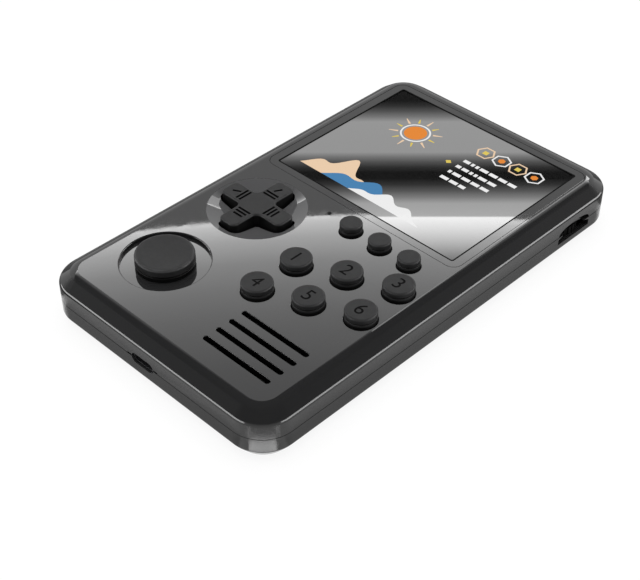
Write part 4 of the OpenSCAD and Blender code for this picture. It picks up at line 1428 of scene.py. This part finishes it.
        # Painted shadow: dim cards beside the near walls darken the floor seen in their reflections, where
        # the contact shadow falls.
        self.plain_card("painted_shadow_near", [(low.x, low.y - gap, lift), (low.x, low.y - reach, lift),
                                      spot(reach, 0), spot(gap, 0)], 0.5)
        self.plain_card("painted_shadow_right", [spot(gap, 90), spot(reach, 90), (high.x + reach, high.y, lift),
                                       (high.x + gap, high.y, lift)], 0.6)
        turns = [20 + 5 * k for k in range(11)]
        outer = [spot(6.8 * MM, turn) for turn in turns]
        inner = [spot(2.5 * MM, turn) for turn in reversed(turns)]
        self.plain_card("corner_reflector", outer + inner, 5.0)
        for turn in (14, 74):
            line = [spot(away * MM, turn + t) for away, t in ((7.2, 0), (11, 0), (11, 2), (7.2, 2))]
            self.plain_card(f"corner_line_{turn}", line, 6.0)
        gap, reach, beyond = 4 * MM, 0.35, 0.1
        left, back, near, right = low.x - gap, high.y + gap, low.y - beyond, high.x + beyond
        self.plain_card("flag_left", [(left - reach, near, lift), (left, near, lift),
                                      (left, back + reach, lift), (left - reach, back + reach, lift)], 0.2)
        self.plain_card("flag_back", [(left, back, lift), (right, back, lift),
                                      (right, back + reach, lift), (left, back + reach, lift)], 0.2)

    def lamp(self, studio):
        """Large soft lamp overhead."""
        data = bpy.data.lights.new("overhead", "AREA")
        data.shape = "SQUARE"
        data.size = studio.lamp_wide
        data.energy = studio.lamp_power
        lamp = bpy.data.objects.new("overhead", data)
        lamp.location = (0, 0, studio.lamp_high)
        lamp.visible_glossy = False
        bpy.context.scene.collection.objects.link(lamp)

    def world(self, scene, studio):
        """White to the camera, even fill, and a bright horizon under a dark ceiling in reflections."""
        world = bpy.data.worlds.new("studio")
        scene.world = world
        world.use_nodes = True
        tree = world.node_tree
        tree.nodes.clear()
        new, link = tree.nodes.new, tree.links.new
        output, path = new("ShaderNodeOutputWorld"), new("ShaderNodeLightPath")
        coords, parts = new("ShaderNodeTexCoord"), new("ShaderNodeSeparateXYZ")
        link(coords.outputs["Generated"], parts.inputs["Vector"])
        ramps = []
        for stops in (self.SKY_BEYOND, self.SKY_ELSEWHERE):
            ramp = new("ShaderNodeValToRGB")
            link(parts.outputs["Z"], ramp.inputs["Fac"])
            for element, (place, level) in zip(ramp.color_ramp.elements, stops):
                element.position, element.color = place, (level, level, level, 1)
            ramps.append(ramp)
        behind, sector, sky = new("ShaderNodeVectorMath"), new("ShaderNodeMapRange"), new("ShaderNodeMix")
        behind.operation, sky.data_type = "DOT_PRODUCT", "RGBA"
        link(coords.outputs["Generated"], behind.inputs[0])
        behind.inputs[1].default_value = (-math.sin(studio.azimuth), math.cos(studio.azimuth), 0)
        link(behind.outputs["Value"], sector.inputs["Value"])
        sector.inputs["From Min"].default_value = 0.3
        sector.inputs["From Max"].default_value = 0.5
        link(sector.outputs["Result"], sky.inputs[0])
        link(ramps[1].outputs["Color"], sky.inputs[MIX_A])
        link(ramps[0].outputs["Color"], sky.inputs[MIX_B])
        shown, glossy, fill = (new("ShaderNodeBackground") for _ in range(3))
        shown.inputs["Color"].default_value = (1, 1, 1, 1)
        link(sky.outputs[MIX_OUT], glossy.inputs["Color"])
        glossy.inputs["Strength"].default_value = 1.0
        fill.inputs["Color"].default_value = (1, 1, 1, 1)
        fill.inputs["Strength"].default_value = studio.fill
        first, second = new("ShaderNodeMixShader"), new("ShaderNodeMixShader")
        link(path.outputs["Is Glossy Ray"], first.inputs["Fac"])
        link(fill.outputs[0], first.inputs[1])
        link(glossy.outputs[0], first.inputs[2])
        link(path.outputs["Is Camera Ray"], second.inputs["Fac"])
        link(first.outputs[0], second.inputs[1])
        link(shown.outputs[0], second.inputs[2])
        link(second.outputs[0], output.inputs["Surface"])


class HANDHELD_PT_panel(bpy.types.Panel):
    """Lists the steps that build the console"""

    bl_label = "Handheld Console"
    bl_idname = "HANDHELD_PT_panel"
    bl_space_type = "VIEW_3D"
    bl_region_type = "UI"
    bl_category = "Console"

    def draw(self, context):
        for step in STEPS:
            self.layout.operator(step.bl_idname)


STEPS = (
    HANDHELD_OT_case, HANDHELD_OT_screen, HANDHELD_OT_pad, HANDHELD_OT_stick, HANDHELD_OT_buttons,
    HANDHELD_OT_edges, HANDHELD_OT_screws, HANDHELD_OT_inside, HANDHELD_OT_stage,
)
GROUPS = {
    "handheld_sizes": HandheldSizes,
    "handheld_colours": HandheldColours,
    "handheld_studio": HandheldStudio,
}


def register():
    """Adds the property groups, operators and panel."""
    for cls in (*GROUPS.values(), *STEPS, HANDHELD_PT_panel):
        bpy.utils.register_class(cls)
    for name, cls in GROUPS.items():
        setattr(bpy.types.Scene, name, PointerProperty(type=cls))


def unregister():
    """Removes what register() adds."""
    for name in GROUPS:
        delattr(bpy.types.Scene, name)
    for cls in reversed((*GROUPS.values(), *STEPS, HANDHELD_PT_panel)):
        bpy.utils.unregister_class(cls)


def main():
    """Builds the whole scene on the frame."""
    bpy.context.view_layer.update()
    register()
    for step in STEPS:
        group, name = step.bl_idname.split(".")
        getattr(getattr(bpy.ops, group), name)()
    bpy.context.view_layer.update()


if __name__ == "__main__":
    main()
